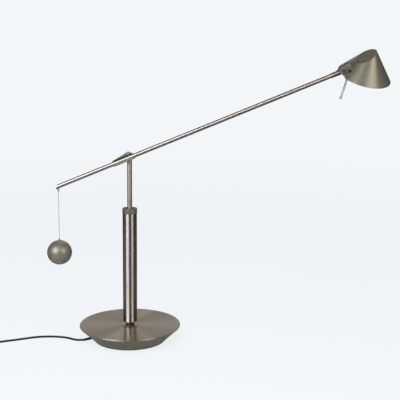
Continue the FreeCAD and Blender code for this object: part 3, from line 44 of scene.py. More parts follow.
def newObject(name, data):
    item = bpy.data.objects.new(name, data)
    sceneRoot.objects.link(item)
    return item


camera = {
    "place": (0.17152, -1.93059, 0.68892),
    "tilt": 9.8407,  # degrees down
    "roll": 0.6508,
    "lens": 72.3,  # millimetres, as is the sensor's width
    "sensor": 36.0,
    "farthest": 50.0,
}


def placeCamera():
    lensData = bpy.data.cameras.new("camera")
    lensData.lens = camera["lens"]
    lensData.sensor_width = camera["sensor"]
    lensData.clip_end = camera["farthest"]
    eye = newObject("camera", lensData)
    tilt = Matrix.Rotation(math.radians(90 - camera["tilt"]), 4, "X")
    roll = Matrix.Rotation(math.radians(camera["roll"]), 4, "Z")
    eye.matrix_world = Matrix.Translation(camera["place"]) @ tilt @ roll
    bpy.context.scene.camera = eye


placeCamera()


cord = {
    "length": 1.8,
    "diameter": 0.0052,
    "exit": (-0.1127, -0.0260, 0.0030),
    "route": [
        (-0.1270, -0.0268, 0.00265),
        (-0.1390, -0.0222, 0.00262),
        (-0.1510, -0.0136, 0.0026),
        (-0.1680, -0.0065, 0.0026),
        (-0.1900, -0.0030, 0.0026),
        (-0.2140, -0.0039, 0.0026),
        (-0.2380, -0.0092, 0.0026),
        (-0.2620, -0.0216, 0.0026),
        (-0.2860, -0.0329, 0.0026),
        (-0.3130, -0.0445, 0.0026),
        (-0.3367, -0.0539, 0.0026),
    ],
    "tail": [
        (-0.3914, -0.0015, 0.0028),
        (-0.3896, 0.0140, 0.0039),
        (-0.3870, 0.0295, 0.0058),
        (-0.3860, 0.0450, 0.0070),
    ],
    "resolution": 6,
    "roundness": 4,
}

# The angles are degrees of cord wound, counted from where the cord meets the coil.
coil = {
    "centre": (-0.3626, -0.0334),
    "arrival": 291.7,  # degrees round the coil where the cord meets it
    "arrivalRadius": 0.0286,
    "innerRadius": 0.0259,
    "outerRadius": 0.0313,
    "besideRadius": 0.0367,  # the last stretch lies on the table beside the turns
    "floor": 0.0026,
    "row": 0.0053,
    "rows": 4,
    "settled": 50,
    "climb": (262, 347),  # an inner turn leaves its row and has reached the next
    "over": 1552,  # where the winding goes over to the outer layer
    "goingOver": ((-20, 0.0, 0.0), (10, 0.7, 0.29), (40, 1.0, 1.0)),  # angle, share of the way out, rows down
    "hop": (178, 212, 240, 360),  # an outer turn starts up, is up, starts down and is two rows lower
    "lastHop": (236, 264, 375),  # the last turn is still up, is on the table, and ends
    "lastHopOut": 0.0029,
    "perTurn": 16,
    "pullIn": 0.981,  # a spline runs inside its points by this much
}


def windingStations():
    # (angle wound, radius, height): up the inner layer, then down the outer one. Each turn
    # climbs where it meets the cord that comes in underneath.
    low, row, rows = coil["floor"], coil["row"], coil["rows"]
    inner, outer, beside = coil["innerRadius"], coil["outerRadius"], coil["besideRadius"]
    stations = [(0, coil["arrivalRadius"], low), (coil["settled"], inner, low)]
    leaves, arrives = coil["climb"]
    for level in range(rows):
        stations.append((leaves + 360 * level, inner, low + row * level))
        stations.append((arrives + 360 * level, inner, low + row * (level + 1)))
    for turned, out, down in coil["goingOver"]:
        stations.append((coil["over"] + turned, inner + out * (outer - inner), low + row * (rows - down)))
    startsUp, isUp, startsDown, isDown = coil["hop"]
    stillUp, onTable, ends = coil["lastHop"]
    for level in range(rows - 1, -1, -1):
        start = coil["over"] + 360 * (rows - 1 - level)
        height = low + row * level
        stations.append((start + startsUp, outer, height))
        stations.append((start + isUp, outer, height + row))
        if level:
            stations.append((start + startsDown, outer, height + row))
            stations.append((start + isDown, outer, height - row))
        else:
            stations.append((start + stillUp, outer + coil["lastHopOut"], height + row))
            stations.append((start + onTable, beside, low))
            stations.append((start + ends, beside, low))
    return stations


def between(stations, wound):
    # The radius and height at one angle, eased from each station to the next.
    for first, last in zip(stations, stations[1:]):
        if wound <= last[0]:
            part = (wound - first[0]) / (last[0] - first[0])
            part = part * part * (3 - 2 * part)
            return [a + (b - a) * part for a, b in zip(first[1:], last[1:])]
    return stations[-1][1:]


def roundPoint(radius, angle, height, centre=(0.0, 0.0)):
    return (centre[0] + radius * math.cos(angle), centre[1] + radius * math.sin(angle), height)


def windingPoints():
    stations = windingStations()
    whole = stations[-1][0]
    steps = round(whole / 360 * coil["perTurn"])
    points = []
    for step in range(steps + 1):
        wound = whole * step / steps
        radius, height = between(stations, wound)
        angle = math.radians(coil["arrival"] - wound)
        points.append(roundPoint(radius / coil["pullIn"], angle, height, coil["centre"]))
    return points


def wireCurve(name, kind, points, radius, roundness):
    data = bpy.data.curves.new(name, "CURVE")
    data.dimensions = "3D"
    line = data.splines.new(kind)
    line.points.add(len(points) - 1)
    for knot, place in zip(line.points, points):
        knot.co = (*place, 1)
        knot.radius = radius
    data.bevel_depth = 1.0  # times the radius of each point
    data.bevel_resolution = roundness
    data.use_fill_caps = True
    return data


def makeCord():
    points = [cord["exit"]] + cord["route"] + windingPoints() + cord["tail"]
    data = wireCurve("mainsCord", "NURBS", points, cord["diameter"] / 2, cord["roundness"])
    line = data.splines[0]
    line.order_u = 3
    line.use_endpoint_u = True
    line.resolution_u = cord["resolution"]
    tube = newObject("mainsCord", data)
    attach(tube, "base")
    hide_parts("mains_cord", "cord_coil", "plug_cord")
    return tube


mainsCord = makeCord()
print("cord laid")


# The arm's and the head's own axes: X along the arm, and Z up the middle of the shade.
axes = {
    "arm": {
        "origin": (0.0007455, -0.014, 0.4577818),
        "x": (0.92254, 0.0, 0.38590),
        "z": (-0.38590, 0.0, 0.92254),
    },
    "head": {
        "origin": (0.55858, 0.00279, 0.65860),
        "x": (0.9649, 0.2499, -0.0807),
        "z": (0.1829, -0.4193, 0.8892),
    },
}


def ownAxes(name):
    along, up = Vector(axes[name]["x"]).normalized(), Vector(axes[name]["z"])
    side = up.cross(along).normalized()
    turn = Matrix((along, side, along.cross(side))).transposed()
    return Matrix.Translation(axes[name]["origin"]) @ turn.to_4x4()


def asTurned(node, name, body, axesOf=None):
    # The node's own surface on an object whose axes lie along it, which brushed grain needs.
    frameAxes = ownAxes(axesOf or body)
    mesh = parts[node].data.copy()
    mesh.transform(frameAxes.inverted())
    piece = newObject(name, mesh)
    piece.matrix_world = frameAxes
    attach(piece, body)
    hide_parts(node)
    return piece


def skin(work, rings):
    # Walls from each ring to the next, and a lid on both ends.
    faces = []
    for before, after in zip(rings, rings[1:]):
        for place in range(len(before)):
            other = (place + 1) % len(before)
            faces.append(work.faces.new((before[place], before[other], after[other], after[place])))
    faces.append(work.faces.new(rings[0][::-1]))
    faces.append(work.faces.new(rings[-1]))
    return faces


def lathe(work, profile, sides, inside=False, centre=(0.0, 0.0)):
    angles = [2 * math.pi * side / sides for side in range(sides)]
    rings = [
        [work.verts.new(roundPoint(radius, angle, height, centre)) for angle in angles]
        for radius, height in profile]
    for face in skin(work, rings):
        if inside:
            face.normal_flip()


def sweep(work, strip):
    # A closed profile swept round the upright axis, on the hinge's side.
    rings = []
    for step in range(strip["steps"] + 1):
        angle = math.radians(180 + strip["halfAngle"] * (1 - 2 * step / strip["steps"]))
        places = [roundPoint(radius, angle, height) for radius, height in strip["profile"]]
        rings.append([work.verts.new(place) for place in places])
    skin(work, rings)


def meshFrom(work, name, smooth=True):
    mesh = bpy.data.meshes.new(name)
    work.to_mesh(mesh)
    work.free()
    for face in mesh.polygons:
        face.use_smooth = smooth
    return mesh


handle = {
    "across": -0.0403,  # from the middle of the shade
    "top": 0.0176,
    "bottom": -0.0610,
    "corner": 0.0029,
    "flat": 0.00225,
    "sharpness": 1.6,  # above 1, the edges are narrower than the hollows
    "turnEvery": 0.046,
    "steps": 150,
    "sides": 32,
    # Painted shade starts this high over the shade's rim.
    "shadowedAbove": 0.002,
    "bush": (0.0038, 0.0046, 0.0116),  # radius, and the heights between which it fills the dish's hole
    "bushEdge": 0.0005,
}


def makeHandle():
    # A square bar with rounded edges, twisted along its length.
    work = bmesh.new()
    centre = (handle["across"], 0.0)
    rings = []
    for step in range(handle["steps"] + 1):
        height = handle["top"] + (handle["bottom"] - handle["top"]) * step / handle["steps"]
        twist = 2 * math.pi * height / handle["turnEvery"]
        ring = []
        for side in range(handle["sides"]):
            angle = 2 * math.pi * side / handle["sides"]
            bulge = 0.5 + 0.5 * math.cos(4 * angle)
            reach = handle["flat"] + (handle["corner"] - handle["flat"]) * bulge ** handle["sharpness"]
            ring.append(work.verts.new(roundPoint(reach, angle + twist, height, centre)))
        rings.append(ring)
    skin(work, rings)
    wide, low, high = handle["bush"]
    edge = handle["bushEdge"]
    lathe(work, [(wide - edge, low), (wide, low + edge), (wide, high - edge), (wide - edge, high)],
          handle["sides"], centre=centre)
    bmesh.ops.recalc_face_normals(work, faces=work.faces)
    piece = newObject("twistedHandle", meshFrom(work, "twistedHandle"))
    piece.matrix_world = ownAxes("head")
    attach(piece, "head")
    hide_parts("handle_rod")
    return piece


lip = {
    "profile": ((0.0472, 0.00301), (0.0500, 0.00120), (0.0500, 0.00200), (0.0472, 0.00381)),
    "halfAngle": 7.6,
    "steps": 8,
    # Painted shade on the dish: the radii over which the flange turns dark brown.
    "flangeShadeFrom": (0.0465, 0.0475),
    "cone": (0.0500, 0.0016, 0.647),  # radius and height at the cone's foot, and its rise
}


def addLip(mesh):
    # The dish's foot goes on round the hinge's cheeks, so that no light shows past them.
    work = bmesh.new()
    work.from_mesh(mesh)
    sweep(work, lip)
    work.to_mesh(mesh)
    work.free()


baffle = {
    "profile": (
        (0.04066, 0.0266), (0.04816, 0.0174), (0.0462, 0.0172), (0.0462, 0.0179), (0.0468, 0.0180),
        (0.03976, 0.0266),
    ),
    "halfAngle": 22.0,
    "steps": 14,
}


def makeBaffle():
    # A bent strip inside the shade's wall, over the bracket, that keeps light out of the notch.
    work = bmesh.new()
    sweep(work, baffle)
    bmesh.ops.recalc_face_normals(work, faces=work.faces)
    strip = newObject("notchBaffle", meshFrom(work, "notchBaffle", smooth=False))
    strip.matrix_world = ownAxes("head")
    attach(strip, "head")
    return strip


capsule = {
    "low": 0.0045,  # heights over the shade's rim
    "high": 0.0315,
    "outside": [
        (0.0006, 0.0), (0.0009, 0.0009), (0.0022, 0.0018), (0.0041, 0.0030), (0.0051, 0.0050),
        (0.0055, 0.0078), (0.0055, 0.0170), (0.0051, 0.0200), (0.0040, 0.0222), (0.0026, 0.0232),
    ],
    "wall": 0.0008,
    "hollow": (0.0004, 0.0024, 0.86),  # its smallest radius, its foot, and how much of the height it has
    "pinch": (0.0040, 0.0015, 0.0048),
    "pinchEdge": 0.0006,
    "sides": 40,
    "leadGap": 0.0022,
}

coiledWire = {
    "radius": 0.0008,
    "turns": 11,
    "perTurn": 10,
    "low": 0.0075,
    "high": 0.0150,
    "wire": 0.00014,
    "roundness": 2,
}


def makeCapsule():
    # A glass bulb with its own inner wall, a drawn-off tip and a flat pinch that the pins enter.
    work = bmesh.new()
    low, wall = capsule["low"], capsule["wall"]
    smallest, foot, tall = capsule["hollow"]
    outside = [(radius, low + height) for radius, height in capsule["outside"]]
    inside = [
        (max(radius - wall, smallest), low + foot + height * tall)
        for radius, height in capsule["outside"]]
    lathe(work, outside, capsule["sides"])
    lathe(work, inside, capsule["sides"], inside=True)
    halfWide, halfDeep, drop = capsule["pinch"]
    block = bmesh.ops.create_cube(work, size=1.0)["verts"]
    for corner in block:
        across, deep, up = corner.co
        corner.co = Vector((across * 2 * halfWide, deep * 2 * halfDeep, capsule["high"] + (up - 0.5) * drop))
    edges = list({edge for corner in block for edge in corner.link_edges})
    bmesh.ops.bevel(work, geom=edges, offset=capsule["pinchEdge"], segments=3, affect="EDGES")
    bulb = newObject("capsuleBulb", meshFrom(work, "capsuleBulb"))
    bulb.matrix_world = ownAxes("head")
    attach(bulb, "head")
    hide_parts("halogen_capsule")
    return bulb


def makeFilament():
    # The coil stands in the bulb, with a lead at each end up to the pinch.
    low, high = coiledWire["low"], coiledWire["high"]
    gap, top = capsule["leadGap"], capsule["high"] - capsule["pinch"][2]
    points = [(-gap, 0, top), (-gap, 0, low), (-gap / 2, 0, low)]
    steps = coiledWire["turns"] * coiledWire["perTurn"]
    for step in range(steps + 1):
        angle = 2 * math.pi * step / coiledWire["perTurn"]
        points.append(roundPoint(coiledWire["radius"], angle, low + (high - low) * step / steps))
    points += [(gap, 0, high), (gap, 0, top)]
    data = wireCurve("filament", "POLY", points, coiledWire["wire"], coiledWire["roundness"])
    wire = newObject("filament", data)
    wire.matrix_world = ownAxes("head")
    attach(wire, "head")
    return wire


armTube = asTurned("arm_tube", "armTube", "arm")
armCollar = asTurned("neck_collar", "armCollar", "arm")
rockerCradle = asTurned("rocker_cradle", "rockerCradle", "arm")
hingeTongue = asTurned("hinge_tongue", "hingeTongue", "neck", "arm")
spunDish = asTurned("reflector", "spunDish", "head")
addLip(spunDish.data)
notchBaffle = makeBaffle()
twistedHandle = makeHandle()
capsuleBulb = makeCapsule()
filament = makeFilament()
print("turned pieces, handle and bulb made")


class Wiring:
    # The nodes of a material or a world, with short ways to add and join them.
    def __init__(self, owner):
        owner.use_nodes = True
        self.nodes = owner.node_tree.nodes
        self.links = owner.node_tree.links
        self.nodes.clear()

    def give(self, socket, value):
        # A number or a colour is set on the socket, and another node's socket is joined to it.
        if isinstance(value, bpy.types.NodeSocket):
            self.links.new(value, socket)
        elif isinstance(value, tuple) and len(socket.default_value) == 4:
            socket.default_value = (*value, 1)
        else:
            socket.default_value = value

    def add(self, kind, *values, **named):
        # Values go into the sockets in order, or by name. A name in small letters is one of the
        # node's own settings.
        node = self.nodes.new("ShaderNode" + kind)
        sockets = {name.replace("_", " "): value for name, value in named.items() if name[0].isupper()}
        for name, value in named.items():
            if name[0].islower():
                setattr(node, name, value)
        for socket, value in zip(node.inputs, values):
            self.give(socket, value)
        for name, value in sockets.items():
            self.give(node.inputs[name], value)
        return node

    def show(self, output, shader):
        self.links.new(shader, self.add(output).inputs[0])

    def objectCoords(self):
        return self.add("TexCoord").outputs["Object"]

    def math(self, operation, *values):
        return self.add("Math", *values, operation=operation).outputs[0]

    def distance(self, place, centre=(0.0, 0.0, 0.0)):
        return self.add("VectorMath", place, centre, operation="DISTANCE").outputs["Value"]

    def split(self, vector):
        return self.add("SeparateXYZ", vector).outputs

    def ramp(self, value, start, end, low=0.0, high=1.0):
        return self.add("MapRange", value, start, end, low, high).outputs[0]

    def mixed(self, share, first, second):
        node = self.add("Mix", share, data_type="RGBA")
        self.give(node.inputs[6], first)
        self.give(node.inputs[7], second)
        return node.outputs[2]

    def seenDirectly(self):
        # 1 for rays from the camera, a mirror or glass; 0 for light that spreads over a surface.
        path = self.add("LightPath").outputs
        sharp = self.math("MAXIMUM", path["Is Camera Ray"], path["Is Glossy Ray"])
        return self.math("MAXIMUM", sharp, path["Is Transmission Ray"])


studio = {
    "backdrop": (0.888, 0.922, 0.947),
    "room": (0.335, 0.345, 0.365),
    "aim": (0.05, 0.0, 0.25),  # what the softboxes point at
    "floorSize": 30.0,
    "floorColour": (0.80, 0.82, 0.84),
    "floorGlow": (0.20, 0.205, 0.21),  # a pale floor lights the lamp from below as well
    "floorShade": 0.15,  # how much of the floor's look comes from real shading
    "floorLit": (0.64, 0.66, 0.68),  # what that shading gives on the open floor
    "fade": (1.2, 4.0),  # how far off the floor starts to turn into the backdrop, and has turned
    "tentColour": (0.040, 0.034, 0.029),
    "tentRadius": 5.0,
    "tentSides": 72,
    "tentTop": (76.0, 90.0),  # degrees up, as the panels are measured
    "panelWidth": 32.0,  # half the angle of the grey panels behind the lamp
    "panelLevels": (16.0, 62.0),  # how high the lower and the upper panel reach
    "panelLow": (0.205, 0.205, 0.202),
    "panelHigh": (0.44, 0.45, 0.445),
    "matHeight": 0.0004,
    "matNear": 0.08,
    "matMiddle": 0.55,  # nearer than this the mat is one grey
    "matSides": 36,
    "matGrey": ((0.30, 0.31, 0.32), (0.14, 0.135, 0.122)),  # at the left and at the right
    "matTurn": 0.30,  # how far to each side the grey goes on changing
    "matEdges": (-180.0, -120.0, 120.0, 180.0),  # where the outer mat is cut, besides its paler parts
}

# Azimuth 0 is in front of the lamp, and grows towards its shade.
paleCloths = [
    {"name": "paleMatLeft", "from": -57.0, "to": -17.0, "colour": (0.36, 0.35, 0.33)},
    {"name": "paleMatRight", "from": 32.0, "to": 59.0, "colour": (0.25, 0.23, 0.21)},
]

softboxes = [
    {
        "name": "key",
        "gives": "shading",
        "azimuth": -6.0,
        "elevation": 47.0,
        "distance": 2.6,
        "width": 1.6,
        "height": 1.6,
        "radiance": 6.5,
        "colour": (1.0, 0.98, 0.96),
    },
    {
        "name": "softboxLeft",
        "gives": "reflections",
        "azimuth": -37.5,
        "elevation": 26.0,
        "distance": 2.6,
        "width": 1.90,
        "height": 1.9,
        "radiance": 3.5,
        "colour": (0.985, 0.99, 1.0),
    },
    {
        "name": "softboxRight",
        "gives": "reflections",
        "azimuth": 46.0,
        "elevation": 25.0,
        "distance": 2.6,
        "width": 1.28,
        "height": 1.7,
        "radiance": 2.6,
        "colour": (1.0, 0.92, 0.84),
    },
]


def aroundLamp(reach, azimuth, height):
    side = math.radians(azimuth)
    return (reach * math.sin(side), -reach * math.cos(side), height)


def placeSoftbox(box):
    light = bpy.data.lights.new(box["name"], "AREA")
    light.shape = "RECTANGLE"
    light.size = box["width"]
    light.size_y = box["height"]
    light.color = box["colour"]
    light.energy = box["radiance"] * math.pi * box["width"] * box["height"]
    lamp = newObject(box["name"], light)
    rise = math.radians(box["elevation"])
    away = Vector(aroundLamp(math.cos(rise), box["azimuth"], math.sin(rise)))
    lamp.location = Vector(studio["aim"]) + away * box["distance"]
    lamp.rotation_euler = away.to_track_quat("Z", "Y").to_euler()
    lamp.visible_camera = False
    lamp.visible_diffuse = box["gives"] == "shading"
    lamp.visible_glossy = box["gives"] == "reflections"


def makeRoom():
    world = bpy.data.worlds.new("studio")
    bpy.context.scene.world = world
    wiring = Wiring(world)
    soft = wiring.add("Background", studio["room"]).outputs[0]
    pale = wiring.add("Background", studio["backdrop"]).outputs[0]
    wiring.show("OutputWorld", wiring.add("MixShader", wiring.seenDirectly(), soft, pale).outputs[0])


def floorMaterial():
    # Near the lamp the floor shows part of its real shading, and farther off it turns into the
    # backdrop.
    material = bpy.data.materials.new("paleFloor")
    wiring = Wiring(material)
    material.cycles.emission_sampling = "NONE"
    shade, backdrop = studio["floorShade"], studio["backdrop"]
    near = tuple((full - shade * lit) / (1 - shade) for full, lit in zip(backdrop, studio["floorLit"]))
    away = wiring.distance(wiring.objectCoords())
    tone = wiring.mixed(wiring.ramp(away, *studio["fade"]), near, backdrop)
    matt = wiring.add("BsdfDiffuse", studio["floorColour"]).outputs[0]
    glow = wiring.add("Emission", tone).outputs[0]
    under = wiring.add("Emission", studio["floorGlow"]).outputs[0]
    seen = wiring.add("MixShader", wiring.ramp(away, *studio["fade"], 1 - shade, 1.0), matt, glow).outputs[0]
    bounce = wiring.add("AddShader", matt, under).outputs[0]
    wiring.show("OutputMaterial", wiring.add("MixShader", wiring.seenDirectly(), bounce, seen).outputs[0])
    return material


def makeFloor():
    half = studio["floorSize"] / 2
    mesh = bpy.data.meshes.new("floor")
    corners = [(-half, -half, 0), (half, -half, 0), (half, half, 0), (-half, half, 0)]
    mesh.from_pydata(corners, [], [(0, 1, 2, 3)])
    mesh.materials.append(floorMaterial())
    newObject("floor", mesh)


def clothMaterial(name, *tones):
    # One tone, or one at the left that turns into another at the right.
    material = bpy.data.materials.new(name)
    wiring = Wiring(material)
    material.cycles.emission_sampling = "NONE"
    tone = tones[0]
    if len(tones) > 1:
        across = wiring.split(wiring.objectCoords())[0]
        tone = wiring.mixed(wiring.ramp(across, -studio["matTurn"], studio["matTurn"]), *tones)
    wiring.show("OutputMaterial", wiring.add("Emission", tone).outputs[0])
    return material


def addMatPiece(work, near, far, start, end, cloth):
    corners = ((near, start), (far, start), (far, end), (near, end))
    ring = [work.verts.new(aroundLamp(reach, azimuth, studio["matHeight"])) for reach, azimuth in corners]
    work.faces.new(ring).material_index = cloth


def makeTent():
    # Dark cloth round and over the set, with grey panels behind the lamp and paler parts on the
    # mat. Only shiny surfaces see it.
    cloths = [
        clothMaterial("darkCloth", studio["tentColour"]),
        clothMaterial("greyMat", *studio["matGrey"]),
        clothMaterial("lowPanel", studio["panelLow"]),
        clothMaterial("highPanel", studio["panelHigh"]),
    ]
    dark, mat, panel, pale = 0, 1, 2, len(cloths)
    cloths += [clothMaterial(sector["name"], sector["colour"]) for sector in paleCloths]

    work = bmesh.new()
    radius, count = studio["tentRadius"], studio["tentSides"]
    levels = [0.0, *studio["panelLevels"], *studio["tentTop"]]
    rings = []
    for level in levels:
        rise = math.radians(level)
        rings.append([
            work.verts.new(aroundLamp(radius * math.cos(rise), 360 * step / count, radius * math.sin(rise)))
            for step in range(count)])
    for low, (below, above) in enumerate(zip(rings, rings[1:])):
        for step in range(count):
            middle = (step + 0.5) * 360 / count
            after = (step + 1) % count
            face = work.faces.new((below[step], below[after], above[after], above[step]))
            if low < len(studio["panelLevels"]) and abs(middle - 180) < studio["panelWidth"]:
                face.material_index = panel + low

    turn = 360 / studio["matSides"]
    for step in range(studio["matSides"]):
        start = step * turn - 180
        addMatPiece(work, studio["matNear"], studio["matMiddle"], start, start + turn, mat)
    edges = sorted([*studio["matEdges"], *(sector[end] for sector in paleCloths for end in ("from", "to"))])
    for start, end in zip(edges, edges[1:]):
        cloth = dark
        for place, sector in enumerate(paleCloths):
            if sector["from"] <= (start + end) / 2 <= sector["to"]:
                cloth = pale + place
        addMatPiece(work, studio["matMiddle"], radius, start, end, cloth)

    tent = newObject("darkTent", meshFrom(work, "darkTent", smooth=False))
    for material in cloths:
        tent.data.materials.append(material)
    tent.visible_camera = False
    tent.visible_diffuse = False
    tent.visible_transmission = False
    tent.visible_volume_scatter = False
    tent.visible_shadow = False


makeRoom()
makeFloor()
makeTent()
for softbox in softboxes:
    placeSoftbox(softbox)
bpy.context.scene.view_settings.view_transform = "Standard"
print("studio lit")


class Finish(Wiring):
    # A material with one shader, and the patterns that finishes are made of.
    def __init__(self, name, colour, rough, metallic=0.0, **sockets):
        self.material = bpy.data.materials.new(name)
        super().__init__(self.material)
        self.shader = self.add("BsdfPrincipled", Base_Color=colour, Roughness=rough, Metallic=metallic,
                               **sockets)
        self.show("OutputMaterial", self.shader.outputs[0])
        self.coords = self.objectCoords()

    def stretched(self, scale, shift=(0.0, 0.0, 0.0)):
        return self.add("Mapping", self.coords, Location=shift, Scale=scale).outputs[0]

    def noise(self, scale, detail=3.0, vector=None):
        pattern = self.add("TexNoise", Scale=scale, Detail=detail, Roughness=0.55)
        self.give(pattern.inputs["Vector"], vector or self.coords)
        return pattern.outputs["Fac"]

    def ringCoords(self):
        # Coordinates that only change with the distance from the upright axis and with height.
        across, deep, up = self.split(self.coords)
        squares = self.math("ADD", self.math("MULTIPLY", across, across), self.math("MULTIPLY", deep, deep))
        return self.add("CombineXYZ", self.math("SQRT", squares), 0.0, up).outputs[0]

    def weighted(self, *shares):
        # The sum of patterns, each of them times its share.
        total = self.math("MULTIPLY", *shares[0])
        for share in shares[1:]:
            total = self.math("ADD", total, self.math("MULTIPLY", *share))
        return total

    def spread(self, pattern, low, high):
        # Noise stays near the middle of its range, which is drawn out here.
        return self.ramp(pattern, 0.25, 0.75, low, high)

    def roughness(self, pattern, low, high):
        self.give(self.shader.inputs["Roughness"], self.spread(pattern, low, high))

    def colour(self, tone):
        self.give(self.shader.inputs["Base Color"], tone)

    def toned(self, pattern, dark, light):
        return self.mixed(self.spread(pattern, 0.0, 1.0), dark, light)

    def bump(self, height, distance, strength):
        node = self.add("Bump", Strength=strength, Distance=distance, Height=height)
        self.give(self.shader.inputs["Normal"], node.outputs[0])

    def grainRound(self, axis="Z"):
        # The brush went round the axis, so light is drawn out across its lines.
        node = self.add("Tangent", direction_type="RADIAL", axis=axis)
        self.give(self.shader.inputs["Tangent"], node.outputs[0])


nickel = {
    "disc": (0.68, 0.575, 0.47),
    "discDark": (0.56, 0.465, 0.38),
    "rim": (0.98, 0.88, 0.77),  # painted highlight: the disc's edge is coloured brighter, for the light that its edge catches
    "rimHighlightFrom": 0.1243,
    "column": (0.80, 0.76, 0.71),
    "columnDark": (0.70, 0.66, 0.61),
    "stem": (0.80, 0.78, 0.765),
    "stemDark": (0.64, 0.62, 0.605),
    "arm": (0.86, 0.81, 0.785),
    "armDark": (0.74, 0.69, 0.665),
    "tongue": (0.62, 0.55, 0.50),
    "tongueDark": (0.52, 0.46, 0.42),
}


def brushed(drawnOut=1.0):
    # Brushed lines draw the light out across themselves.
    return {"Anisotropic": drawnOut, "Anisotropic_Rotation": 0.25}


def brushedDisc():
    finish = Finish("brushedNickel", nickel["disc"], 0.3, 1.0, **brushed(0.95))
    rings = finish.ringCoords()
    fine = finish.noise(2600.0, 2.0, rings)
    coarse = finish.noise(260.0, 3.0, rings)
    cloud = finish.noise(14.0)
    flat = finish.toned(finish.weighted((coarse, 0.6), (cloud, 0.4)), nickel["discDark"], nickel["disc"])
    # Painted highlight: a brighter band round the disc's edge.
    rim = finish.math("GREATER_THAN", finish.split(rings)[0], nickel["rimHighlightFrom"])
    finish.colour(finish.mixed(rim, flat, nickel["rim"]))
    finish.roughness(finish.weighted((fine, 0.5), (cloud, 0.5)), 0.26, 0.36)
    finish.bump(fine, 0.00002, 0.2)
    finish.grainRound()
    return finish.material


def turnedTube(name, kind, low, high, depth=0.12, axis="Z", **sockets):
    # Fine lines round the tube, close together along the axis that it was turned on.
    light, dark = nickel[kind], nickel[kind + "Dark"]
    finish = Finish(name, light, low, 1.0, **sockets)
    lines = finish.stretched(tuple(1500.0 if side == axis else 40.0 for side in "XYZ"))
    fine = finish.noise(1.0, 3.0, lines)
    cloud = finish.noise(22.0)
    finish.colour(finish.toned(finish.weighted((fine, 0.3), (cloud, 0.7)), dark, light))
    finish.roughness(cloud, low, high)
    finish.bump(fine, 0.00001, depth)
    finish.grainRound(axis)
    return finish.material


paint = {
    "light": (0.290, 0.281, 0.216),
    "dark": (0.232, 0.225, 0.170),
    "metallic": 0.62,
    "rough": 0.36,
    "roughSpread": (-0.03, 0.04),
    "coat": 0.15,
    "coatRough": 0.2,
    "flake": 1800.0,
    "cloud": 9.0,
    "peel": 420.0,
    "peelDepth": (0.00003, 0.25),
}

hinge = {
    "centre": (0.50550, -0.02051, 0.66933),  # the middle of the screw's face
    # Painted shade: the radius and colour of the dark disc over the screw's socket.
    "socket": 0.0019,
    "socketShadeColour": (0.012, 0.011, 0.009),
    # Painted shade on the paint beside the hinge: the distances over which it fades out, and how much darker
    # it makes the paint.
    "hingeShade": (0.018, 0.044),
    "hingeShadeFactor": 0.72,
}

# Painted shade on the cradle's wall above the arm: how high the near-black strip reaches, its soft edge and
# its colour.
cradleShade = {"high": 0.0076, "edge": 0.0005, "colour": (0.016, 0.015, 0.013)}


def paintSkin(finish, rough):
    # Paint's own change of gloss and its orange peel. Gives back the pattern of the gloss.
    cloud = finish.noise(paint["cloud"])
    low, high = (rough + step for step in paint["roughSpread"])
    finish.roughness(cloud, low, high)
    finish.bump(finish.noise(paint["peel"], 2.0), *paint["peelDepth"])
    return cloud


def olivePaint(name="olivePaint", rough=paint["rough"], gain=1.0, hingeShade=False):
    light, dark = (tuple(part * gain for part in paint[key]) for key in ("light", "dark"))
    finish = Finish(name, light, rough, paint["metallic"],
                    Coat_Weight=paint["coat"], Coat_Roughness=paint["coatRough"])
    cloud = paintSkin(finish, rough)
    flake = finish.noise(paint["flake"], 2.0)
    tone = finish.toned(finish.weighted((flake, 0.45), (cloud, 0.55)), dark, light)
    if hingeShade:
        # Painted shade: the paint is darkened close to the hinge, fading out over these distances, for the
        # shade beside the cheeks.
        away = finish.ramp(finish.distance(finish.coords, hinge["centre"]), *hinge["hingeShade"])
        tone = finish.mixed(away, tuple(part * hinge["hingeShadeFactor"] for part in dark), tone)
    finish.colour(tone)
    return finish.material


def cradleShadePaint():
    # Painted shade: the wall behind the arm gets a near-black strip just above the tube, for the shade
    # between the tube and the wall.
    finish = Finish("cradleShadePaint", paint["light"], paint["rough"], 0.3)
    cloud = paintSkin(finish, paint["rough"])
    up = finish.split(finish.coords)[2]
    over = finish.ramp(up, cradleShade["high"] - cradleShade["edge"], cradleShade["high"])
    under = finish.math("LESS_THAN", up, 0.0)
    coat = finish.toned(cloud, paint["dark"], paint["light"])
    finish.colour(finish.mixed(finish.math("MAXIMUM", over, under), cradleShade["colour"], coat))
    return finish.material


def plainMetal(name, light, dark, low, high, grain=900.0, pits=0.00002, metallic=1.0):
    finish = Finish(name, light, low, metallic)
    grit = finish.noise(grain)
    finish.colour(finish.toned(finish.noise(60.0, 4.0), dark, light))
    finish.roughness(grit, low, high)
    finish.bump(grit, pits, 0.3)
    return finish.material


def moulded(name, light, dark, low, high):
    finish = Finish(name, light, low)
    grit = finish.noise(1400.0, 2.0)
    finish.colour(finish.toned(finish.noise(35.0), dark, light))
    finish.roughness(grit, low, high)
    finish.bump(grit, 0.00004, 0.35)
    return finish.material


def windingTape():
    # The edges of the tape's turns run up and down.
    finish = Finish("windingTape", (0.55, 0.42, 0.10), 0.4)
    turns = finish.noise(1.0, 2.0, finish.stretched((900.0, 900.0, 90.0)))
    finish.colour(finish.toned(finish.noise(40.0), (0.48, 0.33, 0.06), (0.66, 0.50, 0.14)))
    finish.roughness(turns, 0.3, 0.5)
    finish.bump(turns, 0.0002, 0.5)
    return finish.material


def clearGlass():
    finish = Finish("capsuleGlass", (0.96, 0.97, 0.98), 0.03, Transmission_Weight=0.9, IOR=1.46)
    ripple = finish.noise(220.0, 2.0)
    finish.roughness(ripple, 0.01, 0.05)
    finish.bump(ripple, 0.00004, 0.2)
    return finish.material


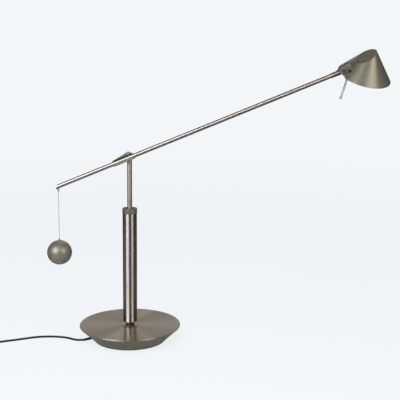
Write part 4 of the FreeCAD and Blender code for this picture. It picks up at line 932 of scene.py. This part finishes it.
def dishMetal():
    # Bright inside. Painted shade: its back and the flange that closes the shade's rim are dark brown, for
    # the shadow they lie in behind the notch.
    finish = Finish("dishMetal", (0.72, 0.70, 0.66), 0.32, 0.5, **brushed(0.6))
    rings = finish.ringCoords()
    reach, _, up = finish.split(rings)
    flange = finish.ramp(reach, *lip["flangeShadeFrom"])
    foot, low, rise = lip["cone"]
    climb = finish.math("MULTIPLY", finish.math("SUBTRACT", foot, reach), rise)
    shadedBack = finish.math("GREATER_THAN", up, finish.math("ADD", climb, low))
    lines = finish.noise(2200.0, 2.0, rings)
    bright = finish.mixed(lines, (0.60, 0.58, 0.54), (0.76, 0.74, 0.70))
    # Painted shade: dark brown on the back and on the flange.
    finish.colour(finish.mixed(finish.math("MAXIMUM", shadedBack, flange), bright, (0.30, 0.27, 0.21)))
    finish.roughness(lines, 0.30, 0.38)
    finish.bump(lines, 0.00002, 0.2)
    finish.grainRound()
    return finish.material


def hingeScrewMetal():
    # The screw is as brown as the cheeks. Painted shade: a near-black disc over its socket stands for the
    # shade in the hole.
    finish = Finish("screwBrown", (0.17, 0.15, 0.115), 0.42, 0.3)
    outside = finish.math("GREATER_THAN", finish.distance(finish.coords, hinge["centre"]), hinge["socket"])
    grit = finish.noise(900.0)
    brown = finish.mixed(grit, (0.15, 0.13, 0.10), (0.21, 0.185, 0.145))
    finish.colour(finish.mixed(outside, hinge["socketShadeColour"], brown))
    finish.roughness(grit, 0.40, 0.50)
    finish.bump(grit, 0.00002, 0.3)
    return finish.material


def twistedMetal():
    # Painted shade: the hollows between the four twisted edges are coloured much darker than the edges, for
    # the shade in the grooves.
    finish = Finish("twistedMetal", (0.84, 0.85, 0.86), 0.34, 0.3)
    across, deep, up = finish.split(finish.stretched((1.0, 1.0, 1.0), (-handle["across"], 0.0, 0.0)))
    twist = finish.math("MULTIPLY", up, -2 * math.pi / handle["turnEvery"])
    angle = finish.math("ADD", finish.math("ARCTAN2", deep, across), twist)
    wave = finish.math("COSINE", finish.math("MULTIPLY", angle, 4.0))
    edge = finish.math("ADD", finish.math("MULTIPLY", wave, 0.5), 0.5)
    grit = finish.noise(900.0)
    pattern = finish.weighted((finish.ramp(edge, 0.10, 0.55), 0.85), (grit, 0.3))
    bar = finish.mixed(pattern, (0.12, 0.12, 0.125), (0.98, 0.985, 0.99))
    # Painted shade: above that height the bar and its bush are dark brown, for the shadow inside the shade.
    shadowedInside = finish.math("GREATER_THAN", up, handle["shadowedAbove"])
    finish.colour(finish.mixed(shadowedInside, bar, (0.15, 0.13, 0.105)))
    finish.roughness(grit, 0.30, 0.40)
    finish.bump(grit, 0.00002, 0.3)
    return finish.material


# One finish for each slot of the record.
finishes = {
    "brushed_nickel": brushedDisc(),
    "olive_paint": olivePaint(),
    "polished_nickel": turnedTube("polishedNickel", "column", 0.37, 0.40, **brushed()),
    "dark_steel": plainMetal("darkSteel", (0.10, 0.09, 0.08), (0.06, 0.055, 0.05), 0.35, 0.5),
    "zinc_steel": plainMetal("zincSteel", (0.62, 0.62, 0.62), (0.50, 0.50, 0.51), 0.28, 0.45),
    "black_iron": plainMetal("blackIron", (0.09, 0.09, 0.09), (0.05, 0.05, 0.05), 0.55, 0.8, 500.0, 0.0001),
    "brass": plainMetal("brass", (0.75, 0.56, 0.26), (0.64, 0.46, 0.20), 0.25, 0.4),
    "foot_rubber": moulded("footRubber", (0.030, 0.030, 0.030), (0.020, 0.020, 0.020), 0.65, 0.85),
    "winding_tape": windingTape(),
    "pad_rubber": moulded("padRubber", (0.05, 0.05, 0.05), (0.035, 0.035, 0.035), 0.7, 0.9),
    "white_nylon": moulded("whiteNylon", (0.78, 0.77, 0.73), (0.70, 0.69, 0.65), 0.4, 0.5),
    "lead_insulation": moulded("leadInsulation", (0.55, 0.55, 0.56), (0.45, 0.45, 0.46), 0.35, 0.5),
    "ceramic": moulded("ceramic", (0.82, 0.80, 0.76), (0.74, 0.72, 0.68), 0.45, 0.65),
    "capsule_glass": clearGlass(),
    "light_metal": plainMetal("lightMetal", (0.58, 0.55, 0.50), (0.45, 0.42, 0.38), 0.3, 0.42),
    "grey_rubber": moulded("greyRubber", (0.42, 0.45, 0.48), (0.32, 0.35, 0.38), 0.5, 0.7),
    "cord_black": moulded("cordBlack", (0.014, 0.014, 0.030), (0.008, 0.008, 0.016), 0.35, 0.5),
}

# The nodes that look a little different from the rest of their slot.
ownFinishes = {
    "stem_tube": turnedTube("stemNickel", "stem", 0.40, 0.48),
    "hinge_screw": hingeScrewMetal(),
    # Painted light: the ball has the same olive paint made 1.3 times lighter, for the extra light it gets; it
    # is also rougher.
    "counterweight_ball": olivePaint("ballPaintLightened", 0.40, 1.30),
    # The shade's paint carries painted shade beside the hinge.
    "shade_shell": olivePaint("shadePaint", hingeShade=True),
    "pivot_cap": plainMetal("capMetal", (0.36, 0.37, 0.38), (0.30, 0.31, 0.32), 0.30, 0.38, metallic=0.55),
    "guide_bush": finishes["dark_steel"],
    "holder_bracket": plainMetal("hingeMetal", (0.33, 0.29, 0.225), (0.24, 0.21, 0.16), 0.38, 0.5,
                                 metallic=0.35),
    "shade_cover": plainMetal("coverPaint", (0.125, 0.118, 0.088), (0.100, 0.095, 0.070), 0.42, 0.55,
                              metallic=0.2),
}

armNickel = turnedTube("armNickel", "arm", 0.28, 0.31, 0.05, "X", **brushed())
tongueNickel = turnedTube("tongueNickel", "tongue", 0.36, 0.42, 0.1, "X", **brushed(0.9))
madePieces = (
    (mainsCord, finishes["cord_black"]),
    (armTube, armNickel),
    (armCollar, armNickel),
    (rockerCradle, cradleShadePaint()),
    (hingeTongue, tongueNickel),
    (spunDish, dishMetal()),
    (notchBaffle, finishes["olive_paint"]),
    (twistedHandle, twistedMetal()),
    (capsuleBulb, finishes["capsule_glass"]),
    (filament, finishes["zinc_steel"]),
)

for name, part in parts.items():
    slots = part.data.materials
    slotName = slots[0].name.split(".")[0]
    for place in range(len(slots)):
        slots[place] = ownFinishes.get(name, finishes[slotName])
for piece, material in madePieces:
    piece.data.materials.clear()
    piece.data.materials.append(material)
print("finishes on")
